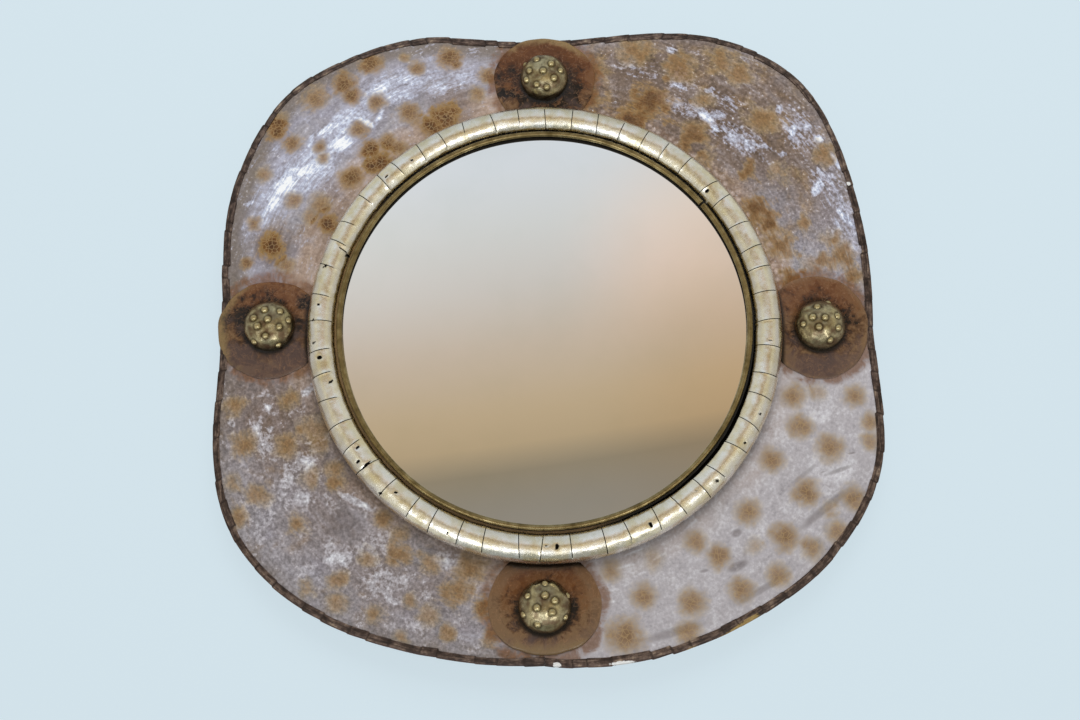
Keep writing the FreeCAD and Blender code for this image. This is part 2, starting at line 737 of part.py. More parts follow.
def make_hanger_loop():
    """Bent wire loop, drawn hanging from a straight bar along X that is its hinge pin."""
    radius = size("loop_wire_radius")
    half = size("loop_half_width")
    corner = size("loop_corner_radius")
    side_end = corner + size("loop_side")
    diagonal = corner * (1 - math.sqrt(0.5))
    bar_left = Vector(corner - half, 0, 0)
    bar_right = Vector(half - corner, 0, 0)
    side_right = Vector(half, -corner, 0)
    side_left = Vector(-half, -corner, 0)
    bow_right = Vector(half, -side_end, 0)
    bow_left = Vector(-half, -side_end, 0)
    bow_low = Vector(0, -side_end - half, 0)
    path = Part.Wire([
        Part.makeLine(bar_left, bar_right),
        Part.Arc(bar_right, Vector(half - diagonal, -diagonal, 0), side_right).toShape(),
        Part.makeLine(side_right, bow_right),
        Part.Arc(bow_right, bow_low, bow_left).toShape(),
        Part.makeLine(bow_left, side_left),
        Part.Arc(side_left, Vector(diagonal - half, -diagonal, 0), bar_left).toShape(),
    ])
    section = Part.Wire(Part.makeCircle(radius, bar_left, Vector(1, 0, 0)))
    item = document.addObject("Part::Feature", "hanger_loop")
    item.Shape = path.makePipeShell([section], True, False)
    hinge = Vector(0, measure(HINGE_HEIGHT), measure(HINGE_LEVEL))
    place = Placement(hinge, Rotation(Vector(1, 0, 0), size("loop_rest_tilt")))
    finish(item, "hanger_loop", UPRIGHT * place)


def check_and_write():
    """Stops if anything failed to build, and otherwise writes one file for each sub-part."""
    document.recompute()
    for item in document.Objects:
        if "Invalid" in item.State or "Error" in item.State:
            raise RuntimeError(f"{item.Label} did not build: {item.State}")
    for piece in pieces:
        if piece.Shape.isNull() or not piece.Shape.isValid() or not piece.Shape.Solids:
            raise RuntimeError(f"{piece.Label} is not a valid solid")
    os.makedirs("parts", exist_ok=True)
    for piece in pieces:
        piece.Shape.exportStep(f"parts/{piece.Label}.step")
        print(f"{piece.Label}: {len(piece.Shape.Solids)} solids, {piece.Shape.Volume:.0f} cubic mm")


make_backing_board()
for lobe_name, lobe_shares in LOBE_REACH_SHARES.items():
    make_lobe(lobe_name, lobe_shares)
make_bed_plate()
make_tape_strips()
make_mirror_glass()
make_moulding_ring()
make_wire_ring()
make_clamp_screws()
for stud_name in STUD_TURNS:
    make_disc(stud_name)
    make_stud(stud_name)
    make_stud_beads(stud_name)
make_stud_fasteners()
make_hanger_plate()
make_hanger_screws()
make_hanger_loop()
check_and_write()
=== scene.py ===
"""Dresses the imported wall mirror: pearly lobes, crimped bands, a kerfed moulding and granulated studs."""
import math

import bmesh
import bpy
import numpy as np
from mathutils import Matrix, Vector


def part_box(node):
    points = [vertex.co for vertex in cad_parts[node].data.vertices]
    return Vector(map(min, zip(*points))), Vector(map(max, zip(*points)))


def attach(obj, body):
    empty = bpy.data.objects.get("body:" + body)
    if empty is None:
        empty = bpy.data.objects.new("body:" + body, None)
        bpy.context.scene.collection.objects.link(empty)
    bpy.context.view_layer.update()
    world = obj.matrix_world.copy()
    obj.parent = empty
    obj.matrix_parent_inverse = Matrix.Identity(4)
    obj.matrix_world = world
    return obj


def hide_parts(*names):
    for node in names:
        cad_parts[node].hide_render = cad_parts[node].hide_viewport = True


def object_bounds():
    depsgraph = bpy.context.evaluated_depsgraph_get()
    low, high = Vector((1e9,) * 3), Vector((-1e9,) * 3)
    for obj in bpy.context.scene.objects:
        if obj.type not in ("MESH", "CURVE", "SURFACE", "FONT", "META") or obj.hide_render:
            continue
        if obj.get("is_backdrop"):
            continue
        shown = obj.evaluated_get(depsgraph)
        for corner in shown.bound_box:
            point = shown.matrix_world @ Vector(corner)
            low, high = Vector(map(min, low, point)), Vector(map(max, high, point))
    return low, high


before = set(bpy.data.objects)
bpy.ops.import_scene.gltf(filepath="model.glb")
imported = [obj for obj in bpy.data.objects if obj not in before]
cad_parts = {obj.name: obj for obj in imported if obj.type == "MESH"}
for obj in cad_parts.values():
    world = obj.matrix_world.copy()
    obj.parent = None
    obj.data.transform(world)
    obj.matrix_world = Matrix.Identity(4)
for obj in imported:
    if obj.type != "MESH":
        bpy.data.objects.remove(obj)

CAD_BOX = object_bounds()
MILLIMETRE = 0.001
QUARTER = math.pi / 2

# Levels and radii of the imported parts. A depth is measured from the wall towards the viewer, against +Y.
LOBE_NAMES = ("upper_right", "upper_left", "lower_left", "lower_right")
DISC_NAMES = ("right", "top", "left", "bottom")
BOARD_THICKNESS = 18 * MILLIMETRE
LOBE_FRONT = -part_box("bed_plate")[1].y
LOBE_REAR = -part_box("backing_board")[1].y + BOARD_THICKNESS
LOBE_THICKNESS = LOBE_FRONT - LOBE_REAR
LOBE_INNER = 140 * MILLIMETRE
LOBE_HALF_GAP = 0.005 * MILLIMETRE
ROLL_START = 215 * MILLIMETRE
ROLL_RADIUS = 210 * MILLIMETRE
BED_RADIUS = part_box("bed_plate")[1].x
GLASS_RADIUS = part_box("mirror_glass")[1].x
GLASS_FRONT = -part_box("mirror_glass")[0].y

BAND_THICKNESS = 0.8 * MILLIMETRE
BAND_LIP = 6.8 * MILLIMETRE
CRIMP_DEPTH = 1.1 * MILLIMETRE

GLASS_GAP = 0.3 * MILLIMETRE
GLASS_PLAY = 1 * MILLIMETRE
MOULDING_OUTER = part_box("moulding_ring")[1].x
MOULDING_TOP = -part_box("moulding_ring")[0].y
MOULDING_BASE = -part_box("moulding_ring")[1].y
MOULDING_SKIRT = 0.5 * MILLIMETRE
MOULDING_SPRING = MOULDING_BASE + MOULDING_SKIRT
MOULDING_HALF_WIDTH = MOULDING_TOP - MOULDING_SPRING
MOULDING_RADIUS = MOULDING_OUTER - MOULDING_HALF_WIDTH
MOULDING_LIP = GLASS_FRONT + GLASS_GAP
MOULDING_REBATE = GLASS_RADIUS + GLASS_PLAY

WIRE_LOW, WIRE_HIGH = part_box("wire_ring")
WIRE_RADIUS = (WIRE_HIGH.y - WIRE_LOW.y) / 2
WIRE_DEPTH = -(WIRE_HIGH.y + WIRE_LOW.y) / 2
WIRE_CIRCLE = WIRE_HIGH.x - WIRE_RADIUS

BED_GAP = 0.4 * MILLIMETRE
DISC_LOW, DISC_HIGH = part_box("disc_right")
DISC_RADIUS = (DISC_HIGH.z - DISC_LOW.z) / 2
DISC_THICKNESS = 3 * MILLIMETRE
DISC_LAND = 18 * MILLIMETRE
DISC_HOLE = 3 * MILLIMETRE
DISC_BITE = BED_RADIUS + BED_GAP
STUD_CIRCLE = DISC_HIGH.x - DISC_RADIUS

STUD_LOW, STUD_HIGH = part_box("stud_right")
STUD_RADIUS = (STUD_HIGH.z - STUD_LOW.z) / 2
STUD_SEAT = -STUD_HIGH.y
STUD_TOP = -STUD_LOW.y
STUD_HEIGHT = STUD_TOP - STUD_SEAT

# The camera, fitted so that the moulding and the studs of the photograph lie on true circles.
PHOTO_WIDTH = 1080
PHOTO_HEIGHT = 720
SENSOR = 36.0
LENS = 38.667
CAMERA_PLACE = Vector((0, -0.80004, -0.23390))
CAMERA_FORWARD = Vector((-0.0038772, 0.96535742, 0.26090233))
CAMERA_RIGHT = CAMERA_FORWARD.cross(Vector((0, 0, 1))).normalized()
CAMERA_UP = CAMERA_RIGHT.cross(CAMERA_FORWARD)
PIXEL_SIZE = 0.69 * MILLIMETRE

# Marks on the lobes, read from the photograph. Places and sizes are in its pixels.
# A spot is (x, y, radius, strength): a fuzzy tan blot with a darker heart.
SPOTS = {
    "upper_right": (
        (637, 52, 15, 0.5), (679, 67, 16, 0.55), (721, 61, 15, 0.5), (651, 104, 18, 0.8),
        (632, 120, 12, 0.9), (695, 133, 12, 0.6), (741, 73, 12, 0.45), (704, 99, 9, 0.4),
        (704, 159, 9, 0.5), (762, 119, 14, 0.5), (824, 154, 12, 0.5), (748, 171, 10, 0.7),
        (759, 210, 12, 0.75), (780, 245, 12, 0.6), (804, 223, 7, 0.5), (842, 255, 12, 0.6),
        (790, 280, 8, 0.75), (782, 174, 11, 0.35), (855, 273, 8, 0.6), (592, 70, 14, 0.6),
        (588, 98, 14, 0.7), (770, 226, 8, 0.6), (812, 262, 11, 0.2), (830, 240, 9, 0.25),
        (686, 145, 8, 0.7),
    ),
    "upper_left": (
        (292, 143, 9, 0.6), (277, 132, 9, 0.8), (320, 147, 6, 0.6), (323, 159, 6, 0.5), (359, 129, 9, 0.6),
        (370, 149, 9, 0.8), (381, 162, 11, 1.0), (372, 165, 8, 0.8), (388, 142, 8, 0.6),
        (351, 178, 10, 0.7), (264, 174, 8, 0.4), (294, 200, 8, 0.5), (320, 203, 10, 0.4),
        (328, 224, 9, 0.9), (254, 223, 7, 0.6), (271, 246, 11, 1.0), (246, 263, 6, 0.6),
        (286, 265, 8, 0.5), (310, 216, 8, 0.4), (344, 83, 12, 0.7), (352, 96, 9, 0.7), (370, 64, 11, 0.7),
        (404, 57, 5, 0.4), (417, 68, 8, 0.6), (449, 57, 12, 0.7), (456, 65, 6, 0.6), (377, 102, 9, 0.6),
        (410, 113, 10, 0.6), (446, 117, 14, 1.0), (431, 127, 10, 0.8), (478, 93, 8, 0.5),
        (399, 148, 7, 0.6), (278, 122, 11, 0.5), (314, 98, 13, 0.55), (488, 76, 9, 0.6),
    ),
    "lower_left": (
        (235, 405, 9, 0.8), (289, 400, 8, 0.7), (244, 446, 11, 0.8), (286, 444, 10, 0.8),
        (314, 429, 15, 0.5), (319, 441, 10, 0.5), (335, 471, 8, 0.8), (335, 483, 8, 0.8),
        (308, 478, 9, 0.6), (259, 496, 10, 0.7), (232, 482, 8, 0.6), (237, 517, 9, 0.8),
        (298, 524, 9, 0.8), (368, 558, 8, 0.6), (399, 556, 10, 0.9), (399, 535, 7, 0.7),
        (383, 520, 7, 0.8), (337, 581, 9, 0.7), (428, 562, 10, 0.7), (375, 614, 8, 0.7),
        (411, 601, 7, 0.6), (457, 591, 12, 0.9), (471, 567, 12, 0.8), (485, 606, 10, 1.0),
        (402, 637, 6, 0.6), (448, 632, 7, 0.7), (490, 638, 8, 0.7), (307, 590, 8, 0.6), (338, 603, 9, 0.5),
        (430, 615, 9, 0.5),
    ),
    "lower_right": (
        (794, 396, 11, 0.9), (818, 392, 8, 0.4), (854, 396, 10, 0.9), (800, 426, 11, 0.9),
        (830, 448, 12, 0.9), (871, 422, 9, 0.8), (871, 442, 9, 0.7), (772, 460, 11, 0.9),
        (806, 492, 12, 1.0), (854, 498, 11, 0.9), (830, 509, 8, 0.4), (749, 512, 11, 0.9),
        (785, 537, 12, 1.0), (696, 542, 10, 0.8), (719, 556, 11, 0.9), (838, 531, 10, 0.8),
        (812, 549, 10, 0.8), (755, 545, 8, 0.4), (611, 571, 9, 0.7), (654, 560, 9, 0.4),
        (643, 596, 11, 0.9), (692, 603, 12, 0.9), (625, 636, 16, 1.0), (690, 634, 11, 0.8),
        (741, 590, 11, 0.9), (779, 575, 10, 0.8),
    ),
}

# A glint is (x, y, half length, half width, turn in degrees, strength): a painted highlight, a pearly white
# streak or cloud of reflected light.
GLINTS = {
    "upper_right": (
        (672, 50, 8, 5, 0, 0.6), (628, 66, 14, 6, -15, 0.5), (678, 86, 8, 5, -30, 0.8),
        (710, 90, 8, 4, 10, 0.8), (675, 102, 13, 4, -20, 0.8), (706, 117, 11, 5, -40, 1.1),
        (715, 128, 7, 4, -50, 1.0), (700, 109, 6, 3, 0, 0.9), (718, 114, 10, 6, 0, 0.7),
        (733, 138, 13, 8, -30, 0.7), (750, 145, 11, 8, -45, 0.8), (779, 109, 8, 4, 80, 0.7),
        (793, 131, 11, 4, 70, 1.0), (808, 125, 5, 4, 0, 0.7), (818, 139, 7, 5, 0, 1.0),
        (835, 160, 17, 3, -68, 0.9), (818, 187, 13, 6, 60, 0.9), (846, 218, 15, 5, -50, 1.0),
        (852, 247, 8, 3, -20, 0.8), (762, 146, 11, 3, -20, 0.7), (783, 154, 5, 3, 0, 0.7),
        (836, 232, 7, 4, 0, 0.6), (746, 60, 7, 3, -40, 0.6), (741, 84, 6, 3, 0, 0.5),
        (690, 110, 45, 12, -25, 0.5), (740, 140, 40, 16, -30, 0.52), (800, 130, 28, 18, -60, 0.5),
        (832, 190, 44, 18, -65, 0.5), (640, 70, 40, 12, -10, 0.36), (680, 80, 20, 14, 0, 0.42),
        (845, 235, 26, 12, -60, 0.5), (725, 100, 26, 14, -40, 0.36),
    ),
    "upper_left": (
        (340, 144, 16, 9, 25, 1.08), (286, 185, 17, 12, 40, 1.08), (305, 171, 15, 6, 40, 1.0),
        (272, 204, 15, 7, 48, 1.0), (264, 214, 8, 4, 60, 0.8), (311, 142, 13, 4, 80, 0.7),
        (326, 129, 15, 4, 45, 0.9), (250, 203, 8, 3, 20, 0.6), (276, 148, 6, 3, 30, 0.6),
        (388, 87, 13, 8, 25, 0.9), (376, 91, 8, 6, 0, 0.7), (398, 81, 10, 6, 30, 0.8),
        (408, 95, 8, 6, 0, 0.7), (360, 119, 12, 3, -15, 0.9), (369, 124, 10, 4, -35, 1.0),
        (380, 116, 15, 3, 72, 0.8), (337, 118, 9, 4, 30, 0.8), (430, 60, 6, 3, 80, 0.7),
        (442, 87, 9, 5, 0, 0.6), (420, 84, 26, 13, 15, 0.5), (300, 176, 62, 24, 45, 0.72),
        (390, 90, 54, 20, 25, 0.66), (346, 125, 36, 16, 40, 0.66), (262, 215, 30, 12, 60, 0.6),
        (445, 80, 40, 20, 10, 0.5),
    ),
    "lower_left": (
        (258, 429, 12, 5, 80, 0.7), (265, 448, 9, 8, 0, 0.7), (269, 407, 4, 3, 0, 0.9),
        (270, 429, 6, 4, 0, 0.7), (231, 423, 7, 6, 0, 0.6), (293, 454, 11, 4, 10, 0.6),
        (303, 464, 13, 9, 0, 0.8), (289, 476, 11, 8, 0, 0.5), (302, 500, 13, 8, 0, 0.8),
        (306, 392, 7, 4, 30, 0.8), (356, 502, 23, 4, -25, 0.9), (338, 559, 17, 8, -10, 0.9),
        (374, 542, 15, 6, 70, 0.7), (382, 577, 15, 8, 0, 0.7), (377, 588, 11, 6, 0, 0.7),
        (447, 564, 9, 7, 0, 1.0), (440, 554, 11, 4, 0, 0.5), (305, 574, 8, 6, 90, 0.6),
        (392, 599, 9, 5, -30, 0.6), (255, 514, 14, 8, 20, 0.5), (239, 462, 7, 5, 0, 0.5),
        (270, 396, 5, 3, 0, 0.6), (262, 440, 20, 14, 70, 0.45), (303, 470, 30, 22, 20, 0.5),
        (300, 500, 26, 14, 0, 0.5), (262, 512, 26, 20, 20, 0.44), (340, 556, 28, 16, -20, 0.52),
        (372, 548, 22, 18, 60, 0.5), (385, 580, 28, 18, 0, 0.5), (300, 455, 40, 8, 10, 0.42),
        (330, 500, 60, 8, -20, 0.42), (445, 560, 22, 12, 0, 0.5), (250, 532, 22, 16, -40, 0.42),
        (420, 600, 28, 12, -10, 0.36),
    ),
    "lower_right": (
        (830, 470, 46, 36, 60, 0.94), (776, 430, 8, 6, 0, 0.7), (746, 482, 7, 4, 0, 0.9),
        (763, 482, 7, 4, 0, 0.8), (670, 546, 15, 4, 25, 0.7), (760, 500, 12, 7, 40, 0.4),
        (720, 585, 50, 22, 25, 0.35), (664, 618, 24, 18, 0, 0.4), (820, 415, 22, 14, 0, 0.94),
        (850, 465, 14, 14, 0, 1.0), (800, 515, 16, 10, 30, 0.9), (648, 540, 16, 2, 24, 1.2),
        (634, 552, 14, 2, 20, 1.2), (660, 556, 12, 2, 28, 1.1), (626, 566, 16, 2, 15, 1.1),
        (612, 590, 14, 2, 10, 1.0), (640, 574, 14, 2, 20, 1.0), (610, 602, 12, 2, 5, 1.0),
        (690, 525, 14, 2, 35, 1.0),
    ),
}

# Dark grey smudges, and painted shade along the folds, listed like the glints.
DARKS = {
    "upper_right": (
        (620, 60, 14, 8, 0, 0.5), (735, 72, 12, 6, -20, 0.4), (770, 90, 20, 8, -45, 0.35),
    ),
    "upper_left": (
        (320, 211, 14, 10, 0, 0.55), (445, 82, 6, 4, 0, 0.5), (300, 192, 12, 3, 60, 0.35),
    ),
    "lower_left": (
        (344, 525, 24, 18, 0, 0.65), (300, 548, 12, 7, 0, 0.4), (262, 470, 12, 8, 0, 0.35),
    ),
    "lower_right": (
        (840, 470, 18, 2.5, 20, 0.6), (858, 497, 18, 3, 34, 0.6), (852, 453, 5, 1.5, 10, 0.7),
        (823, 472, 4, 1.2, 20, 0.6), (737, 533, 6, 4, 30, 0.8), (738, 566, 12, 5, 25, 0.8),
        (704, 571, 6, 2, 10, 0.6), (797, 503, 8, 1.5, 90, 0.5), (826, 508, 40, 5, 38, 0.7),
        (675, 632, 38, 5, 16, 0.65), (745, 556, 8, 3, 80, 0.5), (800, 478, 30, 3, 38, 0.55),
        (765, 588, 40, 4, 30, 0.62),
    ),
}

# Brown haze is (x, y, radius, strength): wide soft stains under the surface.
HAZE = {
    "upper_right": (
        (600, 85, 45, 0.9), (640, 90, 70, 0.9), (700, 90, 80, 0.9), (770, 120, 80, 0.6),
        (800, 190, 70, 0.3), (730, 150, 50, 0.2), (690, 140, 50, 0.3),
    ),
    "upper_left": (
        (345, 205, 55, 0.4), (300, 255, 50, 0.3), (450, 110, 60, 0.45), (270, 245, 30, 0.45),
        (390, 150, 40, 0.3),
    ),
    "lower_left": (
        (250, 400, 55, 0.4), (300, 430, 60, 0.4), (250, 470, 60, 0.15), (300, 520, 60, 0.15),
        (350, 560, 60, 0.15), (400, 590, 70, 0.2), (460, 600, 60, 0.15), (420, 550, 50, 0.1),
        (340, 480, 50, 0.25),
    ),
    "lower_right": (
        (620, 610, 60, 0.25), (850, 400, 40, 0.2), (780, 470, 40, 0.1),
    ),
}

# Worn places of the bands, listed like the glints.
CHIPS = (
    (557, 665, 4, 2.5, 0, 1), (622, 663, 13, 2, 5, 0.9), (848, 184, 3, 2, 0, 1),
)
GOLD_WEAR = (
    (742, 625, 30, 2.6, 31, 1), (700, 646, 20, 2, 18, 0.6),
)

# Granules on each stud, (x, y) pixels of their middles.
BEADS = {
    "top": (
        (536, 58), (523, 63), (552, 62), (528, 70), (543, 69), (562, 70), (555, 78), (525, 80), (536, 85),
        (547, 88),
    ),
    "right": (
        (817, 305), (829, 301), (812, 316), (826, 316), (839, 315), (802, 324), (819, 327), (840, 328),
        (831, 341),
    ),
    "left": (
        (264, 308), (281, 310), (252, 317), (267, 318), (290, 320), (256, 326), (280, 327), (265, 337),
        (253, 343), (279, 346),
    ),
    "bottom": (
        (545, 582), (526, 595), (545, 594), (556, 600), (569, 595), (536, 608), (553, 613), (522, 615),
        (537, 626), (567, 618),
    ),
}

# Pits and smears in the moulding, (x, y, half length, half width, turn in degrees).
PITS = (
    (343, 250, 10, 1.2, -37), (347, 255, 4, 2.5, 30), (325, 267, 4, 2.4, 20), (319, 305, 2.5, 2, 0),
    (313, 320, 2.2, 1.6, 60), (314, 343, 3.2, 1.8, 20), (320, 358, 3.6, 3, 0), (412, 161, 2.2, 1.6, 0),
    (387, 177, 3.5, 1.2, 50), (707, 191, 3.2, 2.6, 40), (557, 547, 4.2, 2.6, 80),
    (649, 525, 4.6, 1.4, -60), (652, 525, 4, 1.2, -60), (696, 491, 1.8, 1.4, 0), (717, 481, 3, 2.4, 0),
    (770, 341, 3, 1.2, 0), (760, 414, 2.6, 1.8, 0), (745, 443, 2.4, 1.6, 0), (331, 382, 4, 2, 50),
    (358, 448, 3.4, 2.2, 40), (358, 462, 3.2, 2.2, 40), (366, 466, 11, 1.8, 45), (380, 493, 2.6, 1.8, 0),
    (396, 493, 2.6, 1.6, 0), (447, 533, 3, 1.2, 80), (546, 546, 2, 1.4, 0),
)


def by_name(names, **rows):
    """A set of looks for each name, from rows that list one look in the order of the names."""
    return {name: {look: row[at] for look, row in rows.items()} for at, name in enumerate(names)}


# How strong each kind of mark is on a lobe.
LOBE_LOOKS = by_name(
    LOBE_NAMES,
    spot_strength=(1.25, 1.35, 0.8, 0.74),
    spot_wander=(0.42, 0.18, 0.3, 0.14),
    haze_floor=(0.27, 0.04, 0.25, 0.0),
    # glint_floor, glint_strength and silk set the painted highlights: their floor, their strength, and how
    # blue and streaky they are.
    glint_floor=(0.05, 0.14, 0.14, 0.64),
    glint_strength=(0.92, 1.05, 0.8, 0.8),
    silk=(1.0, 1.1, 0.35, 0.22),
    grit=(1.0, 0.6, 1.0, 0.3),
    crack=(0.25, 0.7, 0.5, 1.0),
    ochre=(0.27, 0.1, 0.16, 0.05),
    lilac=(0.42, 0.6, 0.16, 0.2),
    ragged=(0.9, 1.0, 1.9, 0.7),
    rose=(0.85, 1.1, 0.6, 0.7),
    pebble=(1.1, 0.2, 0.45, 0.1),
    rim=(0.35, 0.9, 0.5, 0.15),
    crumple=(1.0, 1.5, 1.2, 0.7),
)
EVEN_LOOKS = ("silk", "grit", "crack", "ochre", "ragged")

# What is trimmed off a disc's outer and upper rim, how clear that rim is, its tone and its amber.
DISC_LOOKS = by_name(
    DISC_NAMES,
    trim=(2.6 * MILLIMETRE, 3 * MILLIMETRE, 0.0, 6 * MILLIMETRE),
    drop=(0.0, 0.0, 4 * MILLIMETRE, 0.0),
    clear=(0.3, 1.0, 0.95, 1.0),
    tone=(0.0, -0.26, -0.08, 0.16),
    lift=(0.0, 0.4, -0.1, 0.25),
)


def colour(red, green, blue):
    """Linear colour with full cover from 0 to 255 screen values."""
    shares = (value / 255 for value in (red, green, blue))
    linear = [share / 12.92 if share <= 0.04045 else ((share + 0.055) / 1.055) ** 2.4 for share in shares]
    return (*linear, 1.0)


# Rays of the camera

def pixel_ray(x, y):
    """Direction from the camera through a pixel of the photograph."""
    step = SENSOR / LENS / PHOTO_WIDTH
    across = (x - PHOTO_WIDTH / 2) * step
    down = (y - PHOTO_HEIGHT / 2) * step
    return CAMERA_FORWARD + CAMERA_RIGHT * across - CAMERA_UP * down


def pixel_at_depth(x, y, depth):
    """Point on the ray through a pixel that stands this far in front of the wall."""
    ray = pixel_ray(x, y)
    return CAMERA_PLACE + ray * ((-depth - CAMERA_PLACE.y) / ray.y)


def pixel_on_lobe(x, y):
    """Point on the lobes' front under a pixel; a second try follows the rolled rim."""
    point = pixel_at_depth(x, y, LOBE_FRONT)
    return pixel_at_depth(x, y, float(lobe_depth(math.hypot(point.x, point.z))))


def pixel_on_dome(x, y, centre, radius):
    """First point of a sphere that the ray through a pixel meets, or the closest one to a ray that misses."""
    ray = pixel_ray(x, y).normalized()
    along = (centre - CAMERA_PLACE).dot(ray)
    nearest = CAMERA_PLACE + ray * along
    miss = (nearest - centre).length
    if miss >= radius:
        return centre + (nearest - centre) * (radius / miss)
    return nearest - ray * math.sqrt(radius * radius - miss * miss)


# Shapes shared by several pieces. Arrays of points have a row for each loop of a piece.

NOISE_CELLS = 128


def lobe_depth(radius):
    """Depth of the lobes' front: flat, then rolled back towards the wall at the rim."""
    past = np.maximum(radius - ROLL_START, 0)
    return LOBE_FRONT - (ROLL_RADIUS - np.sqrt(ROLL_RADIUS ** 2 - past ** 2))


def soft_step(low, high, values):
    """0 below low, 1 above high and a smooth rise between; low may be above high."""
    share = np.clip((values - low) / (high - low), 0, 1)
    return share * share * (3 - 2 * share)


def relief(x, z, cell, seed):
    """Smooth random relief from -1 to 1 with bumps about one cell wide."""
    table = np.random.default_rng(seed).uniform(-1, 1, (NOISE_CELLS, NOISE_CELLS))
    across = x / cell + NOISE_CELLS / 2
    along = z / cell + NOISE_CELLS / 2
    column = np.floor(across).astype(int)
    row = np.floor(along).astype(int)
    u = across - column
    v = along - row
    u = u * u * u * (u * (6 * u - 15) + 10)
    v = v * v * v * (v * (6 * v - 15) + 10)

    def at(right, up):
        return table[(column + right) % NOISE_CELLS, (row + up) % NOISE_CELLS]

    low = at(0, 0) * (1 - u) + at(1, 0) * u
    high = at(0, 1) * (1 - u) + at(1, 1) * u
    return low * (1 - v) + high * v


def waves(x, z, *layers):
    """Sum of layers of relief; a layer is (height, cell, seed)."""
    return sum(height * relief(x, z, cell, seed) for height, cell, seed in layers)


def stack(*parts):
    """Vectors from arrays of their x, y and z."""
    return np.stack(np.broadcast_arrays(*parts), axis=-1)


def polar(radius, turn, depth):
    """Points round the mirror's axis."""
    return stack(radius * np.cos(turn), -depth, radius * np.sin(turn))


def quarter_turns(name, share, radius):
    """Turns of points at a share of a lobe's quarter, a hair inside its straight ends."""
    margin = np.arcsin(LOBE_HALF_GAP / radius)
    return LOBE_NAMES.index(name) * QUARTER + margin + share * (QUARTER - 2 * margin)


def sweep(name, loops, ring=False):
    """Closed mesh through a row of closed loops of points; a ring joins its last loop to the first."""
    columns, points = loops.shape[:2]
    index = np.arange(columns * points).reshape(columns, points)
    here = index if ring else index[:-1]
    after = np.roll(index, -1, axis=0)[: len(here)]
    quads = np.stack((here, after, np.roll(after, -1, axis=1), np.roll(here, -1, axis=1)), axis=-1)
    faces = quads.reshape(-1, 4).tolist()
    if not ring:
        faces.append(index[0].tolist())
        faces.append(index[-1][::-1].tolist())
    mesh = bpy.data.meshes.new(name)
    mesh.from_pydata(loops.reshape(-1, 3).tolist(), [], faces)
    return mesh


def settle(mesh, sharp_degrees):
    """Turns all faces outwards and shades them smooth up to an angle."""
    work = bmesh.new()
    work.from_mesh(mesh)
    bmesh.ops.recalc_face_normals(work, faces=work.faces)
    work.to_mesh(mesh)
    work.free()
    mesh.shade_smooth()
    mesh.set_sharp_from_angle(angle=math.radians(sharp_degrees))


def store(mesh, name, values):
    """Keeps a number or a vector for each vertex, or one number for all of them, as a named attribute."""
    count = len(mesh.vertices)
    values = np.asarray(values, np.float32)
    if values.ndim == 0:
        values = np.full(count, values)
    kind, field = ("FLOAT", "value") if values.size == count else ("FLOAT_VECTOR", "vector")
    mesh.attributes.new(name, kind, "POINT").data.foreach_set(field, values.ravel())


def link(name, data):
    """New object in the scene."""
    item = bpy.data.objects.new(name, data)
    bpy.context.scene.collection.objects.link(item)
    return item


def add_piece(mesh, material, slot, node, sharp_degrees, **fields):
    """Puts a mesh in place of the CAD node it stands for, with the fields that its material reads."""
    settle(mesh, sharp_degrees)
    for name, values in fields.items():
        store(mesh, name, values)
    mesh.materials.append(material)
    piece = link(mesh.name, mesh)
    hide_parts(node)
    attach(piece, "mirror")


# Node helpers

